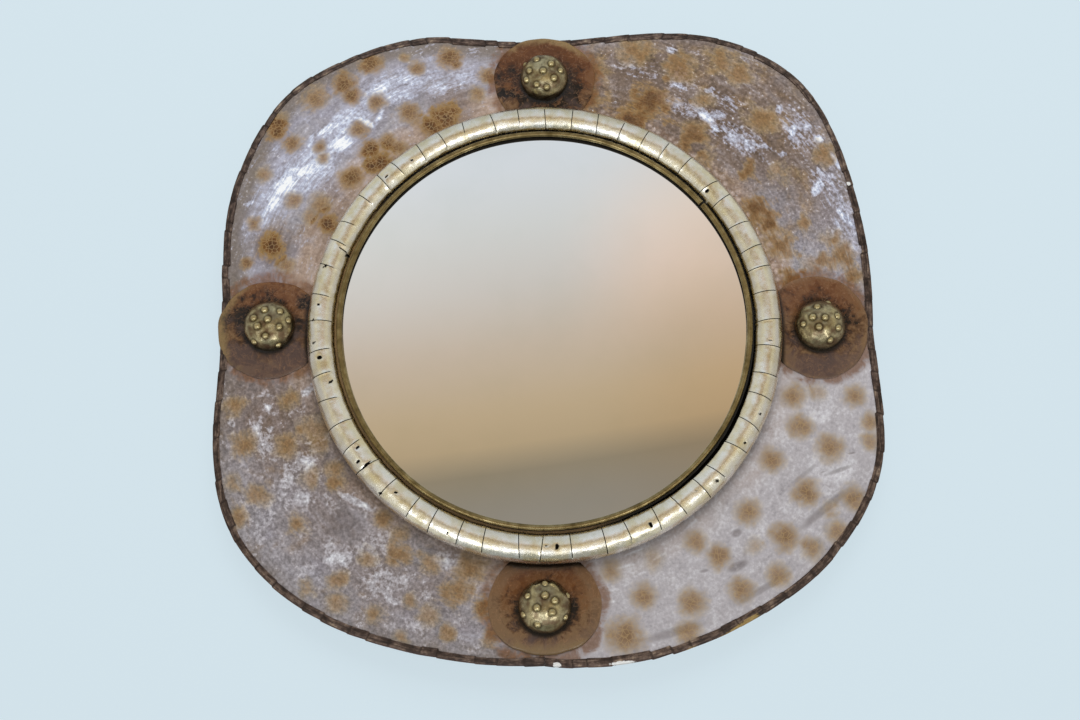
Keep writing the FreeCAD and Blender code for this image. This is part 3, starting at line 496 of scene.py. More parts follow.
class Shader:
    """A node tree with short calls that add nodes and join them. A plain colour is three screen values."""

    def __init__(self, owner):
        owner.use_nodes = True
        self.owner = owner
        self.tree = owner.node_tree
        self.nodes = owner.node_tree.nodes

    def feed(self, socket, value):
        """Joins an input to an output, or sets it to a number, a vector or a plain colour."""
        if isinstance(value, bpy.types.NodeSocket):
            self.tree.links.new(value, socket)
        elif value is not None:
            socket.default_value = colour(*value) if socket.type == "RGBA" else value

    def add(self, kind, inputs=(), **settings):
        """New node; the inputs go by their names or numbers."""
        node = self.nodes.new(kind)
        for name, value in settings.items():
            setattr(node, name, value)
        for key, value in dict(inputs).items():
            self.feed(node.inputs[key], value)
        return node

    def place(self):
        """Place on the object, in metres."""
        return self.add("ShaderNodeTexCoord").outputs["Object"]

    def attribute(self, name, output="Fac"):
        return self.add("ShaderNodeAttribute", attribute_name=name).outputs[output]

    def stretch(self, vector, scale):
        return self.add("ShaderNodeMapping", {"Vector": vector, "Scale": scale}).outputs["Vector"]

    def measure(self, operation, first, second):
        """Distance or dot product of two vectors."""
        return self.add("ShaderNodeVectorMath", {0: first, 1: second}, operation=operation).outputs["Value"]

    def noise(self, scale, vector=None, detail=4, roughness=0.55, distortion=0):
        """Soft noise from 0 to 1 with this many bumps in a metre, on the object or along a vector."""
        inputs = {"Scale": scale, "Detail": detail, "Roughness": roughness, "Distortion": distortion}
        inputs["Vector"] = self.place() if vector is None else vector
        return self.add("ShaderNodeTexNoise", inputs).outputs["Fac"]

    def cells(self, scale, feature="F1"):
        """Distance from the middle or the edge of cells, with this many of them in a metre."""
        inputs = {"Vector": self.place(), "Scale": scale}
        return self.add("ShaderNodeTexVoronoi", inputs, feature=feature).outputs["Distance"]

    def math(self, operation, first, second=None, clamp=False):
        inputs = {0: first, 1: second}
        return self.add("ShaderNodeMath", inputs, operation=operation, use_clamp=clamp).outputs[0]

    def plus(self, first, second, clamp=False):
        return self.math("ADD", first, second, clamp)

    def minus(self, first, second):
        return self.math("SUBTRACT", first, second)

    def times(self, first, second, clamp=False):
        return self.math("MULTIPLY", first, second, clamp)

    def stir(self, value, *noises):
        """Adds noises to a value or a named attribute; each is (noise, amount), half up and half down."""
        value = self.attribute(value) if isinstance(value, str) else value
        for noise, amount in noises:
            value = self.plus(value, self.times(self.minus(noise, 0.5), amount))
        return value

    def band(self, value, low, high, start=0, end=1):
        """Smooth change from start to end while the value goes from low to high."""
        inputs = {"Value": value, "From Min": low, "From Max": high, "To Min": start, "To Max": end}
        return self.add("ShaderNodeMapRange", inputs, interpolation_type="SMOOTHSTEP").outputs["Result"]

    def mix(self, share, first, second, blend="MIX"):
        inputs = {0: share, 6: first, 7: second}
        return self.add("ShaderNodeMix", inputs, data_type="RGBA", blend_type=blend).outputs[2]

    def lay(self, base, shade, value, low, high, most=1):
        """Lays a colour over another, up to a share of most while the value goes from low to high."""
        return self.mix(self.band(value, low, high, 0, most), base, shade)

    def ramp(self, value, *stops):
        """Colours along a value; a stop is (place, colour)."""
        node = self.add("ShaderNodeValToRGB", {"Fac": value})
        entries = node.color_ramp.elements
        while len(entries) < len(stops):
            entries.new(1.0)
        for entry, (place, shade) in zip(entries, stops):
            entry.position = place
            entry.color = colour(*shade)
        return node.outputs["Color"]

    def bump(self, height, strength, distance):
        inputs = {"Height": height, "Strength": strength, "Distance": distance}
        return self.add("ShaderNodeBump", inputs).outputs["Normal"]

    def surface(self, **inputs):
        """Sets the main shader's inputs or joins them to outputs, and gives back the material."""
        for key, value in inputs.items():
            label = key.replace("_", " ").title().replace("Ior", "IOR")
            self.feed(self.nodes["Principled BSDF"].inputs[label], value)
        return self.owner


def new_shader(name, **inputs):
    """Helper of a new material, with the main shader's inputs set."""
    shader = Shader(bpy.data.materials.new(name))
    shader.surface(**inputs)
    return shader


# Materials

# Heights of their fine relief.
PEARL_BUMP = 0.5 * MILLIMETRE
FOIL_BUMP = 0.4 * MILLIMETRE
SILVER_BUMP = 0.35 * MILLIMETRE
WIRE_BUMP = 0.2 * MILLIMETRE
RESIN_BUMP = 0.5 * MILLIMETRE
BRASS_BUMP = 0.4 * MILLIMETRE
WOOD_BUMP = 0.3 * MILLIMETRE
PAINT_BUMP = 0.2 * MILLIMETRE
FOAM_BUMP = 0.3 * MILLIMETRE
STEEL_BUMP = 0.1 * MILLIMETRE

# The black margin of the glass, painted shade and dark reflection round the wire, and the part of it that
# mirrors gilt, towards the lower left.
MARGIN_RADIUS = 139.3 * MILLIMETRE
MARGIN_CENTRE = (0, 0, -1.9 * MILLIMETRE)
MARGIN_FADE = 0.3 * MILLIMETRE
GILT_AXIS = (0.8, 0, 0.6)
GILT_START = -30 * MILLIMETRE
GILT_FULL = -70 * MILLIMETRE
GILT_FADE = 0.5 * MILLIMETRE


def pearl_ground(shader, tone, cloud, patch, mottle, fine):
    """Cool grey, rosy by the moulding, with lilac, brown and ochre stains, pebbles and a dull rim."""
    def shades(dark, middle, light):
        return shader.ramp(tone, (0.25, dark), (0.5, middle), (0.75, light))

    base = shades((134, 129, 132), (168, 164, 170), (194, 194, 206))
    rosy = shader.stir("rose", (cloud, 0.9), (mottle, 0.4))
    base = shader.lay(base, shades((148, 124, 106), (188, 165, 149), (212, 195, 184)), rosy, 0.2, 0.7)
    lilac = shader.stir("lilac", (patch, -1.8))
    base = shader.lay(base, shades((126, 121, 130), (156, 153, 166), (186, 187, 206)), lilac, 0.15, 0.8, 0.75)
    hazy = shader.stir("haze", (cloud, 0.6), (mottle, 0.35))
    base = shader.lay(base, shades((86, 68, 52), (119, 102, 91), (158, 147, 146)), hazy, 0.1, 0.75)
    ochre = shader.stir("ochre", (patch, 2.0), (mottle, 1.0))
    base = shader.lay(base, shades((98, 70, 36), (138, 108, 64), (178, 150, 106)), ochre, 0.2, 0.9, 0.65)
    pebble = shader.ramp(shader.cells(230), (0.15, (204, 184, 174)), (0.6, (118, 92, 70)))
    rough = shader.stir("pebble", (mottle, 1.2), (fine, 0.6))
    base = shader.lay(base, pebble, rough, 0.3, 0.8, 0.6)
    rim = shader.stir("rim", (cloud, 0.6), (mottle, 0.6))
    return shader.lay(base, (112, 98, 80), rim, 0.15, 0.75, 0.75)


def pearl_sheen(shader, base, strand, mottle, fine):
    """Painted highlights: pearly white clouds, streaks and flecks of reflected light, bluer where the silk is
    high; with grey smudges and painted shade along the folds over them.
    """
    silk = shader.attribute("silk")
    frost = shader.plus(shader.times(shader.attribute("grit"), 0.7), 0.4)
    ragged = shader.attribute("ragged")
    # Painted highlights: a pale veil, a bluish sheen and white cores of reflected light.
    glow = shader.stir("glint", (strand, shader.times(silk, 1.5)), (mottle, ragged), (fine, frost))
    base = shader.lay(base, shader.mix(silk, (190, 183, 181), (180, 182, 200)), glow, 0.26, 0.62, 0.75)
    base = shader.lay(base, shader.mix(silk, (214, 209, 208), (212, 221, 240)), glow, 0.58, 0.92, 0.85)
    base = shader.lay(base, (252, 254, 255), glow, 0.86, 1.12)
    # Painted white specks of highlight.
    fleck = shader.times(shader.band(fine, 0.64, 0.74, 0, 0.8), silk)
    base = shader.mix(fleck, base, (232, 232, 238))
    # Grey smudges, and painted shade along the folds.
    dark = shader.stir("dark", (mottle, 0.7), (fine, 0.4))
    return shader.lay(base, (104, 95, 94), dark, 0.25, 0.75, 0.55)


def pearl_blots(shader, base, strand, mottle, fine):
    """Tan blots with darker hearts and a net of pale cracks, and brown stains round the discs."""
    crack = shader.attribute("crack")
    strength = shader.attribute("blot")
    torn = shader.times(shader.minus(1, crack), 2)
    grain = shader.stir("spot", (fine, 0.7), (mottle, 0.6), (strand, torn))

    def cover(low, high, most):
        """How far a blot's layer covers, while the grain goes from low to high."""
        return shader.times(shader.band(grain, low, high, 0, most), strength, clamp=True)

    def shades(start, weak, strong):
        return shader.ramp(strength, (start, weak), (1.0, strong))

    body = cover(0.15, 0.6, 0.8)
    base = shader.mix(cover(-0.22, 0.3, 0.75), base, shades(0.3, (166, 150, 116), (146, 116, 70)))
    base = shader.mix(body, base, shades(0.3, (160, 128, 80), (112, 74, 32)))
    base = shader.mix(cover(0.45, 0.95, 0.7), base, shades(0.6, (124, 86, 42), (76, 46, 18)))
    net = shader.times(shader.band(shader.cells(330, "DISTANCE_TO_EDGE"), 0.12, 0.02, 0, 0.6), crack)
    base = shader.mix(shader.times(net, body), base, (190, 162, 114))
    stain = shader.stir("stain", (mottle, 2.2), (fine, 0.8))
    return shader.lay(base, (112, 72, 34), stain, 0.45, 1.2, 0.8)


def pearl_resin():
    """Mottled mother-of-pearl resin with tan blots, brown haze, white glints and a sandy grain."""
    shader = new_shader("pearl_resin", roughness=0.3, specular_ior_level=0.3, coat_weight=0.15)
    flow = shader.attribute("flow", "Vector")
    cloud = shader.noise(30, detail=3, roughness=0.5)
    patch = shader.noise(46, distortion=0.9)
    mottle = shader.noise(95, detail=5, distortion=0.6)
    strand = shader.noise(100, shader.stretch(flow, (1, 5, 1)), detail=5, roughness=0.6, distortion=0.5)
    fold = shader.noise(40, shader.stretch(flow, (1, 6, 1)), detail=3, distortion=0.6)
    fine = shader.noise(430, roughness=0.62)
    grit = shader.attribute("grit")
    tone = shader.stir(0.5, (cloud, 0.4), (mottle, 0.6), (fold, 0.55), (fine, shader.times(grit, 0.25)))
    base = pearl_ground(shader, tone, cloud, patch, mottle, fine)
    base = pearl_sheen(shader, base, strand, mottle, fine)
    base = pearl_blots(shader, base, strand, mottle, fine)
    speck = shader.times(shader.band(fine, 0.36, 0.24, 0, 0.25), grit)
    base = shader.mix(speck, base, (92, 80, 72))
    sand = shader.ramp(fine, (0.35, (123.5, 123.5, 123.5)), (0.65, (231, 231, 231)))
    base = shader.mix(shader.times(grit, 0.45), base, sand, "OVERLAY")
    return shader.surface(base_color=base, roughness=shader.band(tone, 0.3, 0.75, 0.42, 0.2),
                          normal=shader.bump(tone, 0.3, PEARL_BUMP))


def edge_bronze():
    """Dark bronzed foil, crimped by hand, worn to gold and white in places, with painted shade in the crimp
    creases.
    """
    shader = new_shader("edge_bronze", metallic=0.35, roughness=0.42)
    streak = shader.noise(1, shader.attribute("along", "Vector"), detail=5, roughness=0.65, distortion=0.3)
    fine = shader.noise(700)
    tone = shader.stir(streak, (shader.noise(150, detail=6, roughness=0.7), 0.9))
    base = shader.ramp(tone, (0.28, (30, 22, 20)), (0.46, (66, 52, 46)), (0.62, (112, 94, 84)),
                       (0.76, (168, 150, 128)))
    # Painted shade in the crimp creases.
    base = shader.mix(shader.attribute("crease"), base, (38, 26, 22))
    rim = shader.ramp(tone, (0.3, (46, 29, 24)), (0.5, (66, 42, 34)), (0.75, (98, 70, 56)))
    base = shader.mix(shader.attribute("outer"), base, rim)
    base = shader.lay(base, (172, 146, 88), shader.stir("gold", (tone, 1.8)), 0.45, 0.9, 0.8)
    base = shader.lay(base, (238, 240, 240), shader.stir("chip", (fine, 0.9)), 0.4, 0.6)
    return shader.surface(base_color=base, roughness=shader.band(fine, 0.3, 0.7, 0.34, 0.55),
                          normal=shader.bump(shader.plus(tone, fine), 0.4, FOIL_BUMP))


def silvered_metal():
    """Worn champagne silver, lightly hammered, with dark dirt in the pits and painted shade in the kerfs and
    along the inner edge.
    """
    shader = new_shader("silvered_metal", metallic=1.0, roughness=0.28)
    tone = shader.noise(80, detail=5, roughness=0.6)
    hammer = shader.noise(240, roughness=0.6)
    fine = shader.noise(520, detail=5, roughness=0.65)
    base = shader.lay((246, 245, 240), (230, 222, 196), tone, 0.38, 0.66)
    base = shader.lay(base, (206, 202, 178), hammer, 0.56, 0.7, 0.3)
    base = shader.lay(base, (164, 152, 122), fine, 0.58, 0.8, 0.35)
    # Painted shade in the kerfs and along the inner edge, and dirt in the pits.
    dirt = shader.band(shader.stir("dirt", (hammer, 0.7), (fine, 0.4)), 0.38, 0.66)
    base = shader.mix(dirt, base, (20, 17, 14))
    roughness = shader.plus(shader.band(fine, 0.35, 0.75, 0.2, 0.38), shader.times(dirt, 0.5), clamp=True)
    return shader.surface(base_color=base, roughness=roughness,
                          normal=shader.bump(shader.stir(fine, (hammer, 2.0)), 0.22, SILVER_BUMP))


def wire_brass():
    """Drawn brass wire with a dull olive tarnish."""
    shader = new_shader("wire_brass", metallic=1.0, roughness=0.28)
    tone = shader.noise(130, detail=5, roughness=0.6)
    base = shader.ramp(tone, (0.3, (104, 90, 58)), (0.52, (144, 128, 90)), (0.72, (172, 158, 118)))
    return shader.surface(base_color=base, roughness=shader.band(tone, 0.3, 0.7, 0.4, 0.2),
                          normal=shader.bump(shader.noise(800, detail=3), 0.1, WIRE_BUMP))


def mirror_glass():
    """Silvered glass with faint smudges and a black margin that the wire covers, painted shade and dark
    reflection beside the wire.
    """
    shader = new_shader("mirror_glass", metallic=1.0, roughness=0.0)
    smudge = shader.noise(14, roughness=0.6)
    base = shader.lay((250, 251, 251), (246, 248, 247), smudge, 0.4, 0.7)
    reach = shader.measure("DISTANCE", shader.stretch(shader.place(), (1, 0, 1)), MARGIN_CENTRE)
    margin = shader.band(reach, MARGIN_RADIUS, MARGIN_RADIUS + MARGIN_FADE)
    beyond = shader.band(reach, WIRE_CIRCLE, WIRE_CIRCLE + GILT_FADE)
    toward = shader.measure("DOT_PRODUCT", shader.place(), GILT_AXIS)
    gilt = shader.times(beyond, shader.band(toward, GILT_START, GILT_FULL))
    # The black margin stands in for the shade and dark reflections beside the wire.
    base = shader.mix(margin, base, shader.mix(gilt, (9, 8, 8), (132, 106, 68)))
    roughness = shader.math("MAXIMUM", shader.band(smudge, 0.45, 0.8, 0, 0.02), shader.times(margin, 0.5))
    return shader.surface(base_color=base, metallic=shader.minus(1, margin), roughness=roughness)


def brown_resin():
    """Translucent brown resin: painted black shadow below the stud and beside the moulding, darker round the
    stud, red-brown and amber outside, a painted grey sheen low down, olive at its clear rim.
    """
    shader = new_shader("brown_resin", roughness=0.3, specular_ior_level=0.25, coat_weight=0.15)
    reach = shader.attribute("reach")
    fibre = shader.noise(6.5, shader.attribute("arm", "Vector"), detail=6, roughness=0.65, distortion=0.4)
    cloud = shader.noise(75, detail=3, roughness=0.5, distortion=0.7)
    fine = shader.noise(480, roughness=0.6)
    mottle = shader.noise(170, detail=3, roughness=0.5, distortion=1.0)
    broken = shader.stir(reach, (fibre, 1.1), (cloud, 1.7), (mottle, 0.7))
    # Darker towards the stud: the resin's own dark, and painted shade round the stud.
    base = shader.ramp(broken, (0.44, (22, 15, 11)), (0.58, (60, 40, 27)), (0.76, (92, 64, 41)),
                       (0.98, (122, 94, 66)))
    amber = shader.stir("lift", (cloud, 2.0), (fibre, 1.2))
    base = shader.lay(base, (102, 57, 20), amber, 0.0, 0.8, 0.65)
    # Painted grey sheen on the lower part.
    base = shader.lay(base, (96, 77, 71), shader.stir("lift", (cloud, 1.8)), -0.05, -0.7, 0.75)
    clear = shader.stir("clear", (cloud, 0.8), (fibre, 0.4))
    base = shader.lay(base, (138, 117, 78), clear, 0.4, 0.95, 0.8)
    base = shader.lay(base, (126, 100, 74), shader.stir(reach, (cloud, 0.2)), 0.9, 1.02, 0.5)
    vein = shader.math("ABSOLUTE", shader.minus(mottle, 0.5))
    base = shader.lay(base, (156, 118, 86), vein, 0.018, 0.004, 0.35)
    base = shader.lay(base, (36, 21, 13), fine, 0.54, 0.72, 0.2)
    # Painted black shadow below the stud and beside the moulding.
    base = shader.lay(base, (12, 9, 8), shader.stir("shade", (cloud, 0.7)), 0.15, 0.8, 0.9)
    return shader.surface(base_color=base, roughness=shader.band(cloud, 0.3, 0.7, 0.34, 0.18),
                          normal=shader.bump(shader.plus(fibre, cloud), 0.35, RESIN_BUMP))


def stud_brass():
    """Cast brass, grey-olive, dark in the hollows round the granules with patina and painted shade, and
    brighter on top of them.
    """
    shader = new_shader("stud_brass", metallic=1.0, roughness=0.3)
    tone = shader.noise(170, detail=5, roughness=0.6)
    base = shader.ramp(tone, (0.32, (112, 100, 80)), (0.5, (156, 145, 116)), (0.7, (206, 196, 160)))
    base = shader.lay(base, (122, 92, 72), tone, 0.5, 0.36, 0.4)
    base = shader.mix(shader.times(shader.attribute("bead"), 0.6), base, (206, 192, 146))
    # Patina and painted shade in the hollows round the granules.
    base = shader.mix(shader.attribute("hollow"), base, (60, 50, 34))
    return shader.surface(base_color=base, roughness=shader.band(tone, 0.3, 0.7, 0.38, 0.22),
                          normal=shader.bump(shader.plus(tone, shader.noise(900)), 0.28, BRASS_BUMP))


def board_wood():
    """Stained plywood with long grain."""
    shader = new_shader("board_wood", roughness=0.6)
    long_grain = shader.stretch(shader.place(), (1, 1, 0.06))
    grain = shader.noise(260, long_grain, detail=6, roughness=0.6, distortion=0.4)
    ply = shader.noise(40, shader.stretch(shader.place(), (0.05, 12, 0.05)), detail=2)
    base = shader.ramp(grain, (0.3, (110, 78, 48)), (0.52, (150, 112, 72)), (0.72, (178, 140, 96)))
    base = shader.lay(base, (92, 62, 38), ply, 0.45, 0.6, 0.3)
    return shader.surface(base_color=base, roughness=shader.band(grain, 0.3, 0.7, 0.7, 0.5),
                          normal=shader.bump(grain, 0.3, WOOD_BUMP))


def bed_black():
    """Matt black paint with a soft orange-peel."""
    shader = new_shader("bed_black", roughness=0.55)
    tone = shader.noise(40)
    base = shader.lay((24, 21, 19), (44, 38, 33), tone, 0.4, 0.7)
    return shader.surface(base_color=base, roughness=shader.band(tone, 0.3, 0.7, 0.5, 0.65),
                          normal=shader.bump(shader.noise(600, detail=3), 0.3, PAINT_BUMP))


def tape_foam():
    """Dark foam tape with open cells."""
    shader = new_shader("tape_foam", roughness=0.9)
    pores = shader.cells(1800)
    base = shader.lay((36, 36, 37), (72, 72, 72), pores, 0.2, 0.6)
    return shader.surface(base_color=base, normal=shader.bump(pores, 0.5, FOAM_BUMP))


def plated_steel(name, dark, bright, scale):
    """Plated steel with cloudy tone and fine brushing."""
    shader = new_shader(name, metallic=1.0, roughness=0.3)
    brush = shader.noise(scale, shader.stretch(shader.place(), (1, 1, 0.08)))
    base = shader.lay(dark, bright, shader.noise(150, detail=5), 0.35, 0.68)
    return shader.surface(base_color=base, roughness=shader.band(brush, 0.3, 0.7, 0.22, 0.42),
                          normal=shader.bump(brush, 0.12, STEEL_BUMP))


# Lobes and their bands

LOBE_COLUMNS = 330
LOBE_HIDDEN_ROWS = 5
LOBE_ROWS = 104
LOBE_REAR_ROWS = 10
OPEN_SHARE = 0.9
LOBE_OPEN = LOBE_INNER + OPEN_SHARE * (BED_RADIUS - LOBE_INNER)
LOBE_SHARP = 50
LOBE_WAVES = (
    (0.3 * MILLIMETRE, 30 * MILLIMETRE, 11),
    (0.13 * MILLIMETRE, 11 * MILLIMETRE, 12),
    (0.05 * MILLIMETRE, 4.5 * MILLIMETRE, 13),
)
FOLD_DEPTH = 0.8 * MILLIMETRE
FADE_START = -2 * MILLIMETRE
BED_FADE = 4 * MILLIMETRE
DISC_FADE = 8 * MILLIMETRE
RIM_FADE = 12 * MILLIMETRE
OUTWARD_SHARE = 0.6
TURN_DIGITS = 5
SPOT_SPREAD = 1.35
SPOT_REACH = (1.7, 1.2)
SPOT_CELL = 6 * MILLIMETRE
SPOT_SEED = 14
SPOT_FRAY = (0.1, 2.5 * MILLIMETRE, 15)
MARK_REACH = (1.6, 0.35)
HAZE_REACH = (1.3, 0.2)
ROSE_WIDTH = 42 * MILLIMETRE
PEBBLE_WIDTH = 24 * MILLIMETRE
RIM_WIDTH = 30 * MILLIMETRE
STAIN_WIDTH = 12 * MILLIMETRE


def band_outline(name):
    """Turns and radii of a band's outer edge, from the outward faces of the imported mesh."""
    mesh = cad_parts[f"edge_band_{name}"].data
    start = LOBE_NAMES.index(name) * QUARTER
    full_turn = round(math.tau, TURN_DIGITS)
    edge = {}
    for face in mesh.polygons:
        outward = Vector((face.center.x, 0, face.center.z)).normalized()
        if face.normal.dot(outward) < OUTWARD_SHARE:
            continue
        for vertex in face.vertices:
            point = mesh.vertices[vertex].co
            turn = (math.atan2(point.z, point.x) - start) % math.tau
            edge[round(turn, TURN_DIGITS) % full_turn] = math.hypot(point.x, point.z)
    turns = sorted(turn for turn in edge if turn <= QUARTER)
    return np.array(turns), np.array([edge[turn] for turn in turns])


def spot_fields(name, x, z):
    """How deep in a tan blot each point is, 1 at its heart and below 0 outside, and how strong it is."""
    looks = LOBE_LOOKS[name]
    depth = np.full(x.shape, -1.0)
    strengths = np.zeros(x.shape)
    wander = waves(x, z, (looks["spot_wander"], SPOT_CELL, SPOT_SEED), SPOT_FRAY)
    for px, py, radius, strength in SPOTS[name]:
        middle = pixel_on_lobe(px, py)
        distance = np.hypot(x - middle.x, z - middle.z) / (radius * PIXEL_SIZE * SPOT_SPREAD) + wander
        depth = np.maximum(depth, 1 - distance)
        strengths = np.maximum(strengths, strength * soft_step(*SPOT_REACH, distance))
    return depth, strengths * looks["spot_strength"]


def mark_distance(x, z, middle, half_length, half_width, degrees):
    """Distance of points from a long mark's middle: 1 on its rim. The mark's size is in pixels."""
    turn = math.radians(degrees)
    along = (x - middle.x) * math.cos(turn) + (z - middle.z) * math.sin(turn)
    across = (z - middle.z) * math.cos(turn) - (x - middle.x) * math.sin(turn)
    return np.hypot(along / (half_length * PIXEL_SIZE), across / (half_width * PIXEL_SIZE))


def mark_field(marks, x, z):
    """How strong long marks are at each point."""
    total = np.zeros(x.shape)
    for px, py, *shape, strength in marks:
        distance = mark_distance(x, z, pixel_on_lobe(px, py), *shape)
        total = np.maximum(total, strength * soft_step(*MARK_REACH, distance))
    return total


def haze_field(name, x, z):
    """How deep the brown haze is at each point."""
    clear = np.full(x.shape, 1 - LOBE_LOOKS[name]["haze_floor"])
    for px, py, radius, strength in HAZE[name]:
        middle = pixel_on_lobe(px, py)
        distance = np.hypot(x - middle.x, z - middle.z) / (radius * PIXEL_SIZE)
        clear = clear * (1 - strength * soft_step(*HAZE_REACH, distance))
    return 1 - clear


def disc_centre(name):
    """Middle of a disc on the frame's front, as x and z."""
    turn = DISC_NAMES.index(name) * QUARTER
    return STUD_CIRCLE * math.cos(turn), STUD_CIRCLE * math.sin(turn)


def disc_gap(x, z):
    """Distance of points from the rim of the nearest disc."""
    middles = [disc_centre(name) for name in DISC_NAMES]
    distances = [np.hypot(x - middle_x, z - middle_z) for middle_x, middle_z in middles]
    return np.min(distances, axis=0) - DISC_RADIUS


def lobe_loops(name):
    """Loops of a lobe's points, and how far each point is from the rim."""
    share = np.linspace(0, 1, LOBE_COLUMNS)[:, None]
    outer = np.interp(share * QUARTER, *band_outline(name)) - BAND_THICKNESS - CRIMP_DEPTH
    hidden = np.tile(np.linspace(LOBE_INNER, LOBE_OPEN, LOBE_HIDDEN_ROWS, endpoint=False), (LOBE_COLUMNS, 1))
    front = LOBE_OPEN + np.linspace(0, 1, LOBE_ROWS) * (outer - LOBE_OPEN)
    rear = outer + np.linspace(0, 1, LOBE_REAR_ROWS) * (LOBE_INNER - outer)
    radius = np.hstack((hidden, front, rear))
    turn = quarter_turns(name, share, radius)
    x = radius * np.cos(turn)
    z = radius * np.sin(turn)
    free = soft_step(0, RIM_FADE, outer - radius) * soft_step(FADE_START, BED_FADE, radius - BED_RADIUS)
    free = free * soft_step(FADE_START, DISC_FADE, disc_gap(x, z))
    crumple = LOBE_LOOKS[name]["crumple"] * waves(x, z, *LOBE_WAVES)
    folds = FOLD_DEPTH * mark_field(DARKS[name], x, z)
    depth = lobe_depth(radius) + (crumple - folds) * free
    depth[:, -LOBE_REAR_ROWS:] = lobe_depth(rear) - LOBE_THICKNESS
    return stack(x, -depth, z), outer - radius


def add_lobe(name, material):
    """One quarter of the frame: a rolled slab with a gently crumpled front."""
    loops, rim_gap = lobe_loops(name)
    x, y, z = np.moveaxis(loops, -1, 0)
    radius = np.hypot(x, z)
    bed_gap = radius - BED_RADIUS
    looks = LOBE_LOOKS[name]
    spot, blot = spot_fields(name, x, z)
    # Painted highlights, from the glint marks.
    glint = mark_field(GLINTS[name], x, z) * looks["glint_strength"]
    add_piece(
        sweep(f"resin_lobe_{name}", loops), material, "pearl_resin", f"lobe_{name}", LOBE_SHARP,
        spot=spot,
        blot=blot,
        glint=np.maximum(glint, looks["glint_floor"]),
        dark=mark_field(DARKS[name], x, z),
        haze=haze_field(name, x, z),
        lilac=looks["lilac"] * soft_step(0, ROSE_WIDTH, bed_gap),
        rose=looks["rose"] * soft_step(ROSE_WIDTH, 0, bed_gap),
        pebble=looks["pebble"] * soft_step(PEBBLE_WIDTH, 0, bed_gap),
        rim=looks["rim"] * soft_step(RIM_WIDTH, 0, rim_gap),
        stain=soft_step(STAIN_WIDTH, 0, disc_gap(x, z)),
        flow=stack(np.arctan2(z, x) * ROLL_START, radius, y),
        **{look: looks[look] for look in EVEN_LOOKS},
    )


BAND_COLUMNS = 420
BAND_SHARP = 60
CRIMP_COUNT = 22
CRIMP_SEED = 40
CRIMP_START = 0.5 * MILLIMETRE
CREASE_SHARE = 0.0035
CREASE_DEPTH = 0.3 * MILLIMETRE
WRINKLE = (0.15 * MILLIMETRE, 6 * MILLIMETRE, 21)
STREAK_LENGTH = 12 * MILLIMETRE
STREAK_WIDTH = 2 * MILLIMETRE

# The lip's section from its free edge to the rim: shares of the lip, and heights in thicknesses.
LIP_SHARES = np.array((1.0, 0.98, 0.8, 0.6, 0.4, 0.22, 0.1, 0.03, 0.0))
LIP_LIFTS = np.array((0.12, 0.75, 1.0, 0.92, 1.0, 0.92, 0.7, 0.3, -0.6))
LIP_INSIDE = 0.97
OUTER_REACH = (0.2, 0.02)


def crimp_shape(name):
    """Of each column of a band, how far it steps in, how close to a crease it is and how wide its lip is."""
    random = np.random.default_rng(CRIMP_SEED + LOBE_NAMES.index(name))
    edges = np.linspace(0, 1, CRIMP_COUNT + 1)
    edges[1:-1] += random.uniform(-0.35, 0.35, CRIMP_COUNT - 1) / CRIMP_COUNT
    starts = random.uniform(0, 1, CRIMP_COUNT) * CRIMP_START
    ends = random.uniform(0, 1, CRIMP_COUNT) * CRIMP_DEPTH
    lips = random.uniform(0.68, 0.92, CRIMP_COUNT) * BAND_LIP
    share = np.linspace(0, 1, BAND_COLUMNS)[:, None]
    facet = np.clip(np.searchsorted(edges, share, side="right") - 1, 0, CRIMP_COUNT - 1)
    width = edges[facet + 1] - edges[facet]
    inside = (share - edges[facet]) / width
    inset = starts[facet] * (1 - inside) + ends[facet] * inside
    crease = soft_step(CREASE_SHARE, 0, np.minimum(inside, 1 - inside) * width)
    return inset, crease, lips[facet]


def add_band(name, material):
    """Thin foil folded round a lobe's rim, in crimped facets."""
    inset, crease, lip = crimp_shape(name)
    share = np.linspace(0, 1, BAND_COLUMNS)[:, None]
    outer = np.interp(share * QUARTER, *band_outline(name)) - inset
    front = outer - LIP_SHARES * lip
    wall = outer - BAND_THICKNESS
    tip = outer - LIP_INSIDE * lip
    radius = np.hstack((front, front[:, ::-1], tip, wall, wall, tip))
    turn = quarter_turns(name, share, radius)

    def section(front_part, rear_part, rear_inside=0):
        """A value for each point of a loop: front, rear, and the inside at the rear and at the front."""
        return np.concatenate((front_part, rear_part, (rear_inside, rear_inside, 0, 0)))

    flat = np.zeros(len(LIP_SHARES))
    lift = section(LIP_LIFTS, -LIP_LIFTS[::-1]) * BAND_THICKNESS
    behind = section(flat, flat + 1, 1) * LOBE_THICKNESS
    wrinkle = waves(radius * np.cos(turn), radius * np.sin(turn), WRINKLE) - CREASE_DEPTH * crease
    depth = lobe_depth(radius) + lift - behind + wrinkle * section(LIP_SHARES < LIP_INSIDE, flat)
    loops = polar(radius, turn, depth)
    add_piece(
        sweep(f"foil_band_{name}", loops), material, "edge_bronze", f"edge_band_{name}", BAND_SHARP,
        chip=mark_field(CHIPS, loops[..., 0], loops[..., 2]),
        gold=mark_field(GOLD_WEAR, loops[..., 0], loops[..., 2]),
        crease=np.broadcast_to(crease, radius.shape),
        along=stack(turn * ROLL_START / STREAK_LENGTH, (outer - radius) / STREAK_WIDTH, depth / STREAK_WIDTH),
        outer=np.broadcast_to(section(soft_step(*OUTER_REACH, LIP_SHARES), flat + 1), radius.shape),
    )


# Moulding and wire

